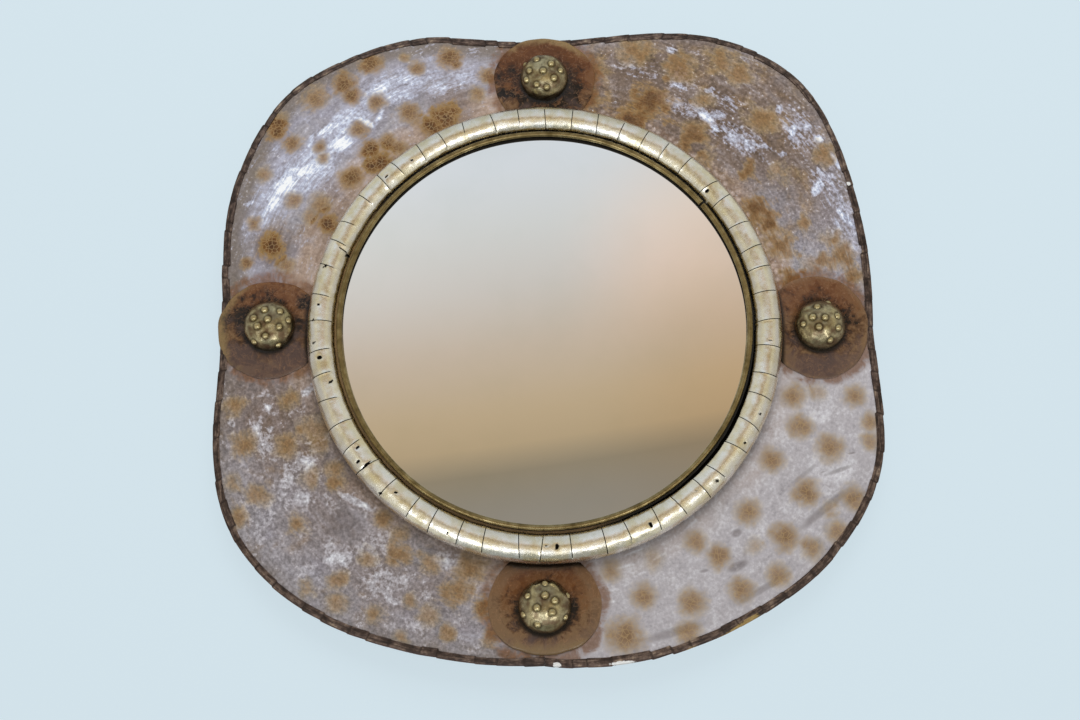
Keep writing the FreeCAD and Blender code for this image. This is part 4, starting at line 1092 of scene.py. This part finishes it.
KERF_COUNT = 52
KERF_SEED = 7
KERF_WIDTH = 0.6 * MILLIMETRE
KERF_DEPTH = 1.3 * MILLIMETRE
KERF_FADE = 0.14
KERF_PINCH = 0.25
KERF_SIDES = ((-1, 0), (-0.6, 1), (0.6, 1), (1, 0))
OUTSIDE_START = math.radians(95)
OUTSIDE_END = math.radians(225)
SEGMENT_SEED = 19
SEGMENT_COLUMNS = 16
SEGMENT_EDGE = 12
SEGMENT_SINK = 0.1 * MILLIMETRE
SEGMENT_TILT = 0.16 * MILLIMETRE
SWELL_LOW = -0.12 * MILLIMETRE
SWELL_HIGH = 0.1 * MILLIMETRE
HAMMER = (0.16 * MILLIMETRE, 9 * MILLIMETRE, 31)
DENTS = (0.09 * MILLIMETRE, 3.8 * MILLIMETRE, 32)
HAMMER_SINK = 0.05 * MILLIMETRE
# Where the inner edge is painted black as shade and dark reflection.
GROOVE_WIDTH = -3 * MILLIMETRE
GROOVE_SPREAD = 5.3 * MILLIMETRE
GROOVE_FADE = 0.3 * MILLIMETRE
GROOVE_TURN = math.radians(-38)
GROOVE_SPAN = 0.42
SIGHT_RADIUS = 144.7 * MILLIMETRE
PIT_DIRT = 0.7
PIT_DEPTH = 0.35 * MILLIMETRE
PIT_REACH = (1.2, 0.5)
PIT_DROP = 2 * MILLIMETRE
MOULDING_ARC_POINTS = 44
MOULDING_FOOT = 0.02
MOULDING_SHARP = 40


def kerf_table():
    """Angle, slant, reach and depth of each kerf, hand-sawn and so uneven, and whether it starts outside."""
    random = np.random.default_rng(KERF_SEED)
    step = math.tau / KERF_COUNT
    angles = np.arange(KERF_COUNT) * step + random.uniform(-0.16, 0.16, KERF_COUNT) * step
    slants = random.uniform(-0.22, 0.22, KERF_COUNT) * step
    reaches = random.uniform(0.72, 1.0, KERF_COUNT)
    depths = random.uniform(0.75, 1.1, KERF_COUNT) * KERF_DEPTH
    return angles, slants, reaches, depths, (angles > OUTSIDE_START) & (angles < OUTSIDE_END)


def moulding_section():
    """Radii, depths, normals and shares of the arc, from the outer foot over the top to the rebate."""
    lip_turn = math.pi - math.asin((MOULDING_LIP - MOULDING_SPRING) / MOULDING_HALF_WIDTH)
    arc = np.linspace(0, lip_turn, MOULDING_ARC_POINTS)

    def loop(foot, arch, lip, rear):
        return np.concatenate(((foot,), arch, (lip, rear)))

    over = MOULDING_RADIUS + MOULDING_HALF_WIDTH * np.cos(arc)
    rise = MOULDING_SPRING + MOULDING_HALF_WIDTH * np.sin(arc)
    radii = loop(MOULDING_OUTER, over, MOULDING_REBATE, MOULDING_REBATE)
    depths = loop(MOULDING_BASE, rise, MOULDING_LIP, MOULDING_BASE)
    normal_out = loop(0, np.cos(arc), 0, 0)
    normal_up = loop(0, np.sin(arc), 0, 0)
    return radii, depths, normal_out, normal_up, loop(0, arc / lip_turn, 1, 1)


def moulding_loops():
    """Loops of the ring's sawn segments and open kerfs, and how dark each point is painted as shade in the
    kerfs and along the inner edge.
    """
    angles, slants, reaches, kerf_depths, from_outside = kerf_table()
    radii, depths, normal_out, normal_up, arc_share = moulding_section()
    random = np.random.default_rng(SEGMENT_SEED)
    tilts = random.uniform(-1, 1, KERF_COUNT) * SEGMENT_TILT
    swells = random.uniform(SWELL_LOW, SWELL_HIGH, KERF_COUNT)
    half_kerf = KERF_WIDTH / 2 / MOULDING_RADIUS
    loops = []
    dirt = []

    def add_loop(turns, sunk, stain):
        lower = np.where(normal_up > MOULDING_FOOT, sunk, 0)
        loops.append(polar(radii - lower * normal_out, turns, depths - lower * normal_up))
        dirt.append(stain)

    def inner_edge_shade(turns):
        """Black along the inner edge, widest at the lower right: painted shade and dark reflection, with some
        dirt.
        """
        away = np.sin((turns - GROOVE_TURN) / 2) / GROOVE_SPAN
        width = GROOVE_WIDTH + GROOVE_SPREAD * np.exp(-(away ** 2))
        return soft_step(width + GROOVE_FADE, width, radii - SIGHT_RADIUS) * (depths > MOULDING_SPRING)

    for number in range(KERF_COUNT):
        after = (number + 1) % KERF_COUNT
        angle = angles[number] + slants[number] * (arc_share - 0.5)
        angle_after = angles[after] + math.tau * (after == 0) + slants[after] * (arc_share - 0.5)
        reached = arc_share if from_outside[number] else 1 - arc_share
        window = soft_step(reaches[number], reaches[number] - KERF_FADE, reached)
        spread = half_kerf * (KERF_PINCH + (1 - KERF_PINCH) * window)
        for side, deep in KERF_SIDES:
            # The kerf's inside is painted dark as shade.
            stain = np.maximum(deep * window, inner_edge_shade(angle))
            add_loop(angle + side * spread, deep * kerf_depths[number] * window, stain)
        for share in np.linspace(0, 1, SEGMENT_COLUMNS + 2)[1:-1]:
            turns = angle + half_kerf + share * (angle_after - angle - 2 * half_kerf)
            x = radii * np.cos(turns)
            z = radii * np.sin(turns)
            hammer = waves(x + depths, z, HAMMER) + waves(x, z + depths, DENTS) + HAMMER_SINK
            from_middle = 2 * share - 1
            fall = tilts[number] * from_middle + swells[number] * (1 - from_middle ** 2)
            edge = min(1, SEGMENT_EDGE * share, SEGMENT_EDGE * (1 - share))
            add_loop(turns, (fall + hammer) * edge + SEGMENT_SINK, inner_edge_shade(turns))
    return np.array(loops), np.array(dirt)


def add_moulding(material):
    """Half-round ring of short straight-sawn segments with open kerfs, and its pits."""
    loops, dirt = moulding_loops()
    for px, py, *shape in PITS:
        middle = pixel_at_depth(px, py, MOULDING_TOP - PIT_DROP)
        distance = mark_distance(loops[..., 0], loops[..., 2], middle, *shape)
        hole = soft_step(*PIT_REACH, distance) * (loops[..., 1] < -MOULDING_SPRING)
        dirt = np.maximum(dirt, hole * PIT_DIRT)
        loops[..., 1] += hole * PIT_DEPTH
    mesh = sweep("kerfed_moulding", loops, ring=True)
    add_piece(mesh, material, "silvered_metal", "moulding_ring", MOULDING_SHARP, dirt=dirt)


WIRE_COLUMNS = 420
WIRE_POINTS = 20
WIRE_SHARP = 50
WIRE_SPLIT = 1.6 * MILLIMETRE
WIRE_SPLIT_ANGLE = math.radians(38)
WIRE_WAVES = ((0.12 * MILLIMETRE, 5), (0.08 * MILLIMETRE, 11))


def add_wire(material):
    """Round wire bent to a ring, with its ends a little apart."""
    half_split = WIRE_SPLIT / 2 / WIRE_CIRCLE
    section = np.linspace(0, math.tau, WIRE_POINTS, endpoint=False)
    turn = np.linspace(half_split, math.tau - half_split, WIRE_COLUMNS)[:, None] + WIRE_SPLIT_ANGLE
    wander = sum(height * np.sin(count * turn) for height, count in WIRE_WAVES)
    radius = WIRE_CIRCLE + wander + WIRE_RADIUS * np.cos(section)
    mesh = sweep("split_wire", polar(radius, turn, WIRE_DEPTH + WIRE_RADIUS * np.sin(section)))
    add_piece(mesh, material, "wire_brass", "wire_ring", WIRE_SHARP)


# Discs, studs and granules

DISC_COLUMNS = 200
DISC_ROWS = 34
DISC_ROW_POWER = 0.8
DISC_SHARP = 60
DISC_RIM = 0.7 * MILLIMETRE
DISC_CLEARANCE = 0.2 * MILLIMETRE
DISC_WAVES = ((0.14 * MILLIMETRE, 9 * MILLIMETRE, 51), (0.06 * MILLIMETRE, 4 * MILLIMETRE, 52))
RIM_WAVES = ((0.3 * MILLIMETRE, 3, 1), (0.2 * MILLIMETRE, 7, 0), (0.15 * MILLIMETRE, 13, 0))
RIM_INSET = 0.7 * MILLIMETRE
RIM_ROUND = 1.6 * MILLIMETRE
RIM_SHARE = 0.4
STUD_FADE = 3 * MILLIMETRE
CLEAR_START = 0.6
SHADE_WIDTH = 5.5 * MILLIMETRE
SHADE_LEVEL = 0.5
SHADE_SLANT = 0.45
RING_SHADE = 8 * MILLIMETRE
RING_SHADE_FULL = 1.6 * MILLIMETRE
ARM_SPREAD = 1.6
ARM_LENGTH = 1.5
ARM_STEP = 5.0


def disc_reach(name, turn):
    """Radius of a disc's rim in each direction: hand-cut, and bitten where it meets the bed."""
    number = DISC_NAMES.index(name)
    centre_x, centre_z = disc_centre(name)
    ragged = sum(height * np.sin(count * turn + phase * number) for height, count, phase in RIM_WAVES)
    trim = DISC_LOOKS[name]["trim"] * np.maximum(np.cos(turn - number * QUARTER), 0) ** 2
    drop = DISC_LOOKS[name]["drop"] * np.maximum(np.sin(turn), 0) ** 2
    along = centre_x * np.cos(turn) + centre_z * np.sin(turn)
    inside = along ** 2 - (STUD_CIRCLE ** 2 - DISC_BITE ** 2)
    bite = np.where((along < 0) & (inside > 0), -along - np.sqrt(np.maximum(inside, 0)), DISC_RADIUS)
    return np.minimum(DISC_RADIUS - RIM_INSET - trim - drop + ragged, bite)


def add_disc(name, material):
    """Brown disc that lies on the lobes, thick under the stud and thin at its rim."""
    number = DISC_NAMES.index(name)
    looks = DISC_LOOKS[name]
    centre_x, centre_z = disc_centre(name)
    turn = np.linspace(0, math.tau, DISC_COLUMNS, endpoint=False)[:, None]
    edge = disc_reach(name, turn)
    out = DISC_HOLE + (edge - DISC_HOLE) * np.linspace(0, 1, DISC_ROWS) ** DISC_ROW_POWER
    radius = np.hstack((out, out[:, ::-1]))
    x = centre_x + radius * np.cos(turn)
    z = centre_z + radius * np.sin(turn)
    axis_gap = np.hypot(x, z)
    slope = soft_step(DISC_LAND, DISC_RADIUS, radius)
    rounding = np.sqrt(np.maximum(0, 1 - soft_step(RIM_ROUND, 0, edge - radius) ** 2))
    thick = (DISC_THICKNESS * (1 - slope) + DISC_RIM * slope) * (RIM_SHARE + (1 - RIM_SHARE) * rounding)
    free = soft_step(STUD_RADIUS, STUD_RADIUS + STUD_FADE, radius)
    front = np.arange(2 * DISC_ROWS) < DISC_ROWS
    depth = lobe_depth(axis_gap) + DISC_CLEARANCE * free + (thick + waves(x, z, *DISC_WAVES) * free) * front
    outward = np.maximum(np.cos(turn - number * QUARTER), 0)
    # Painted shadow below the stud and beside the moulding.
    under = soft_step(SHADE_WIDTH, 0, radius - STUD_RADIUS) * (SHADE_LEVEL - SHADE_SLANT * np.sin(turn))
    beside = soft_step(RING_SHADE, RING_SHADE_FULL, axis_gap - DISC_BITE)
    arm_length = ARM_LENGTH * radius / DISC_RADIUS + ARM_STEP * number
    add_piece(
        sweep(f"brown_disc_{name}", stack(x, -depth, z), ring=True),
        material, "brown_resin", f"disc_{name}", DISC_SHARP,
        reach=radius / edge + looks["tone"],
        lift=radius / DISC_RADIUS * np.sin(turn) + looks["lift"],
        clear=looks["clear"] * outward * soft_step(CLEAR_START, 1, radius / edge),
        shade=np.maximum(under, beside),
        arm=stack(ARM_SPREAD * np.cos(turn), ARM_SPREAD * np.sin(turn), arm_length),
    )


BEAD_COLUMNS = 20
BEAD_ROWS = 14
BEAD_SEED = 70
BEAD_RADIUS = 2.8 * MILLIMETRE
BEAD_LIFT = 0.1 * MILLIMETRE
LOWEST_BEAD = -0.22
HOLLOW_SHADE = 0.75
HOLLOW_REACH = (1.5 * BEAD_RADIUS, 0.95 * BEAD_RADIUS)
FRONT_SKIN = 0.05 * MILLIMETRE
FRONT_LIMIT = -CAD_BOX[0][1] - FRONT_SKIN
DOME_COLUMNS = 96
DOME_ROWS = 40
DOME_SHRINK = 0.7 * MILLIMETRE
DOME_BULGE = 1.5 * MILLIMETRE
DOME_LUMPS = ((0.45 * MILLIMETRE, 0.35, 61), (0.2 * MILLIMETRE, 0.15, 62))
DOME_SHIFT = 3
LUMP_END = 0.8
SHRINK_FULL = 0.7
DOME_SHARP = 60
POLE_RADIUS = 0.15 * MILLIMETRE


def dome_sphere(name):
    """Middle and radius of the sphere that a stud's dome is part of."""
    radius = (STUD_RADIUS ** 2 + STUD_HEIGHT ** 2) / (2 * STUD_HEIGHT)
    x, z = disc_centre(name)
    return Vector((x, -(STUD_TOP - radius), z)), radius


def bead_places(name):
    """Middles of a stud's granules, on the dome below the pixels that show them."""
    centre, radius = dome_sphere(name)
    places = []
    for px, py in BEADS[name]:
        touch = pixel_on_dome(px, py, centre, radius + BEAD_RADIUS / 2)
        outward = (touch - centre).normalized()
        outward.y = min(outward.y, LOWEST_BEAD)
        place = centre + outward.normalized() * (radius - DOME_SHRINK + BEAD_LIFT)
        place.y = max(place.y, BEAD_RADIUS - FRONT_LIMIT)
        places.append(place)
    return places


def add_stud(name, material):
    """Cast dome, lumpy, with hollows round its granules painted dark: patina and painted shade."""
    centre, sphere = dome_sphere(name)
    base_turn = math.acos(1 - STUD_HEIGHT / sphere)
    fall = np.linspace(POLE_RADIUS / sphere, base_turn, DOME_ROWS)
    turn = np.linspace(0, math.tau, DOME_COLUMNS, endpoint=False)[:, None]
    outward = polar(np.sin(fall), turn, np.cos(fall))
    shift_x, _, shift_z = DOME_SHIFT * centre
    lump = waves(outward[..., 0] + shift_x, outward[..., 2] + shift_z, *DOME_LUMPS)
    lump = lump * soft_step(base_turn, base_turn * LUMP_END, fall)
    bulge = DOME_BULGE * np.sin(math.pi * (fall / base_turn) ** 2)
    shrink = DOME_SHRINK * soft_step(1, SHRINK_FULL, fall / base_turn)
    shell = np.array(centre) + outward * (sphere + bulge - shrink + lump)[..., None]
    seat = np.array((centre.x, 0, centre.z)) + polar(POLE_RADIUS, turn, STUD_SEAT)
    loops = np.concatenate((shell, seat), axis=1)
    gap = np.min([np.linalg.norm(loops - np.array(place), axis=-1) for place in bead_places(name)], axis=0)
    add_piece(
        sweep(f"cast_stud_{name}", loops, ring=True), material, "stud_brass", f"stud_{name}", DOME_SHARP,
        hollow=HOLLOW_SHADE * soft_step(*HOLLOW_REACH, gap),
        bead=0,
    )


def add_beads(name, material):
    """Granules of a stud: small balls, a little uneven."""
    random = np.random.default_rng(BEAD_SEED + DISC_NAMES.index(name))
    work = bmesh.new()
    for place in bead_places(name):
        size = BEAD_RADIUS * random.uniform(0.88, 1.02)
        ball = bmesh.ops.create_uvsphere(work, u_segments=BEAD_COLUMNS, v_segments=BEAD_ROWS, radius=size)
        squash = Vector(random.uniform(0.93, 1.0, 3))
        bmesh.ops.scale(work, vec=squash, verts=ball["verts"])
        bmesh.ops.translate(work, vec=place, verts=ball["verts"])
    mesh = bpy.data.meshes.new(f"granules_{name}")
    work.to_mesh(mesh)
    work.free()
    add_piece(mesh, material, "stud_brass", f"stud_beads_{name}", DOME_SHARP, hollow=0, bead=1)


# Stage

WALL_SHADE = (213, 229, 237)
WALL_SIZE = 6.0
WALL_GAP = 0.6 * MILLIMETRE
WALL_MATT = 0.15


def add_wall():
    """Pale wall that shows only to the camera in front of it, with the object's soft shadow."""
    half = WALL_SIZE / 2
    mesh = bpy.data.meshes.new("pale_wall")
    corners = [(x, WALL_GAP, z) for x, z in ((-half, -half), (half, -half), (half, half), (-half, half))]
    mesh.from_pydata(corners, [], [(0, 1, 2, 3)])
    shader = Shader(bpy.data.materials.new("pale_wall"))
    glow = shader.add("ShaderNodeEmission", {"Color": WALL_SHADE})
    matt = shader.add("ShaderNodeBsdfDiffuse", {"Color": WALL_SHADE})
    lit = shader.add("ShaderNodeMixShader", {0: WALL_MATT, 1: glow.outputs[0], 2: matt.outputs[0]})
    front = shader.minus(1, shader.add("ShaderNodeNewGeometry").outputs["Backfacing"])
    seen = shader.times(shader.add("ShaderNodeLightPath").outputs["Is Camera Ray"], front)
    air = shader.add("ShaderNodeBsdfTransparent")
    whole = shader.add("ShaderNodeMixShader", {0: seen, 1: air.outputs[0], 2: lit.outputs[0]})
    shader.feed(shader.nodes["Material Output"].inputs["Surface"], whole.outputs[0])
    mesh.materials.append(shader.owner)
    link("pale_wall", mesh)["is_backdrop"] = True


# What gleaming parts reflect, by the height of the direction in degrees.
ROOM = (
    (-90, (140, 144, 140)), (-58, (168, 172, 168)), (-48, (214, 219, 222)), (-44, (248, 252, 255)),
    (-26, (248, 251, 255)), (-19, (226, 222, 212)), (-6, (218, 202, 170)), (3, (200, 186, 158)),
    (5.5, (148, 140, 128)), (8, (143, 136, 124)), (9.9, (145, 133, 112)), (11.3, (181, 160, 128)),
    (13, (189, 168, 137)), (16, (197, 181, 163)), (19, (203, 197, 190)), (22, (209, 210, 208)),
    (25, (213, 218, 223)), (40, (204, 209, 212)), (60, (190, 196, 196)), (90, (180, 184, 184)),
)
ROOM_SLOPE = 8.4

# Sides of the room. A span is where a change starts and ends: to the side as a sine, or up in degrees.
NEAR_SPAN = (0.42, 0.28)
WARM_SHADE = (255, 246, 236)
WARM_SPAN = (0.02, 0.16)
GLOW_SHADE = (150, 88, 48)
GLOW_SIDE = 0.11
GLOW_SIDE_SPAN = (0.11, 0.01)
GLOW_HEIGHT = 20
GLOW_HEIGHT_SPAN = (5.5, 0.5)
BRIGHT_SHADE = (100, 94, 90)
BRIGHT_SPAN = (-0.02, -0.2)
BRIGHT_HEIGHT_SPAN = (15, 21)
CREAM_SHADE = (214, 207, 180)
CREAM_SPAN = (0.38, 0.56)
GREY_SHADE = (172, 170, 172)
GREY_SPAN = (0.6, 0.95)
SIDE_COVER = 0.7
WINDOW_HEIGHT = -36
WINDOW_SIDE = 0.34
WINDOW_SPAN = (0.16, 0.12)
WINDOW_LIGHT = 3.0
FILL_SHADE = (187.5, 187.5, 187.5)


def add_world():
    """Even pale light; the camera sees the wall's colour and gleaming parts see a soft room."""
    world = bpy.data.worlds.new("room")
    bpy.context.scene.world = world
    shader = Shader(world)
    toward = shader.add("ShaderNodeTexCoord").outputs["Generated"]
    direction = shader.add("ShaderNodeSeparateXYZ", {0: toward}).outputs
    side = direction["X"]
    off_axis = shader.math("ABSOLUTE", side)
    height = shader.times(shader.math("ARCSINE", direction["Z"]), 180 / math.pi)
    height = shader.minus(height, shader.times(side, ROOM_SLOPE))
    share = shader.plus(shader.times(height, 1 / 180), 0.5)
    room = shader.ramp(share, *[((degrees + 90) / 180, shade) for degrees, shade in ROOM])

    def apart(value, middle):
        return shader.math("ABSOLUTE", shader.minus(value, middle))

    near = shader.band(off_axis, *NEAR_SPAN)
    warm = shader.times(shader.band(side, *WARM_SPAN), near)
    room = shader.mix(warm, room, WARM_SHADE, "MULTIPLY")
    beside = shader.band(apart(side, GLOW_SIDE), *GLOW_SIDE_SPAN)
    glow = shader.times(beside, shader.band(apart(height, GLOW_HEIGHT), *GLOW_HEIGHT_SPAN))
    room = shader.mix(glow, room, GLOW_SHADE, "SCREEN")
    bright = shader.times(shader.band(side, *BRIGHT_SPAN), shader.band(height, *BRIGHT_HEIGHT_SPAN))
    room = shader.mix(shader.times(bright, near), room, BRIGHT_SHADE, "SCREEN")
    room = shader.lay(room, CREAM_SHADE, off_axis, *CREAM_SPAN, SIDE_COVER)
    room = shader.lay(room, GREY_SHADE, off_axis, *GREY_SPAN, SIDE_COVER)
    above = shader.times(apart(height, WINDOW_HEIGHT), math.pi / 180)
    away = shader.math("MAXIMUM", apart(off_axis, WINDOW_SIDE), above)
    room = shader.mix(1, room, shader.band(away, *WINDOW_SPAN, 0, WINDOW_LIGHT), "ADD")
    path = shader.add("ShaderNodeLightPath").outputs
    light = shader.mix(path["Is Glossy Ray"], FILL_SHADE, room)
    seen = shader.mix(path["Is Camera Ray"], light, WALL_SHADE)
    shader.feed(shader.nodes["Background"].inputs["Color"], seen)


LAMP_PLACE = Vector((0.1, -1.5, 1.2))
LAMP_SIZE = 1.2
LAMP_WATTS = 22


def add_lamp():
    """Square soft box that faces the mirror."""
    light = bpy.data.lights.new("soft_box", "AREA")
    light.size = LAMP_SIZE
    light.energy = LAMP_WATTS
    lamp = link("soft_box", light)
    lamp.location = LAMP_PLACE
    lamp.rotation_euler = (-LAMP_PLACE).to_track_quat("-Z", "Y").to_euler()
    lamp.visible_glossy = False


def add_camera():
    """Camera at the photograph's place."""
    data = bpy.data.cameras.new("camera")
    data.lens = LENS
    data.sensor_width = SENSOR
    camera = link("camera", data)
    camera.location = CAMERA_PLACE
    camera.rotation_euler = CAMERA_FORWARD.to_track_quat("-Z", "Y").to_euler()
    bpy.context.scene.camera = camera


def dress_nodes():
    """Gives the CAD parts that stay their materials."""
    steel = plated_steel("fastener_steel", (150, 150, 148), (188, 188, 186), 700)
    nickel = plated_steel("hanger_steel", (164, 158, 148), (204, 198, 188), 900)
    dress = {
        "backing_board": board_wood(),
        "bed_plate": bed_black(),
        "glass_tape": tape_foam(),
        "mirror_glass": mirror_glass(),
        "clamp_screws": steel,
        "stud_posts": steel,
        "stud_washers": steel,
        "stud_nuts": steel,
        "hanger_screws": steel,
        "hanger_plate": nickel,
        "hanger_loop": nickel,
    }
    for node, material in dress.items():
        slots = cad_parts[node].data.materials
        slots.clear()
        slots.append(material)


def build():
    """Adds every piece, the stage, the light and the camera."""
    resin = pearl_resin()
    bronze = edge_bronze()
    for name in LOBE_NAMES:
        add_lobe(name, resin)
        add_band(name, bronze)
    add_moulding(silvered_metal())
    add_wire(wire_brass())
    brown = brown_resin()
    brass = stud_brass()
    for name in DISC_NAMES:
        add_disc(name, brown)
        add_stud(name, brass)
        add_beads(name, brass)
    dress_nodes()
    add_wall()
    add_world()
    add_lamp()
    add_camera()
    bpy.context.scene.view_settings.view_transform = "Standard"


build()
[[list(corner) for corner in box] for box in (CAD_BOX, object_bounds())]
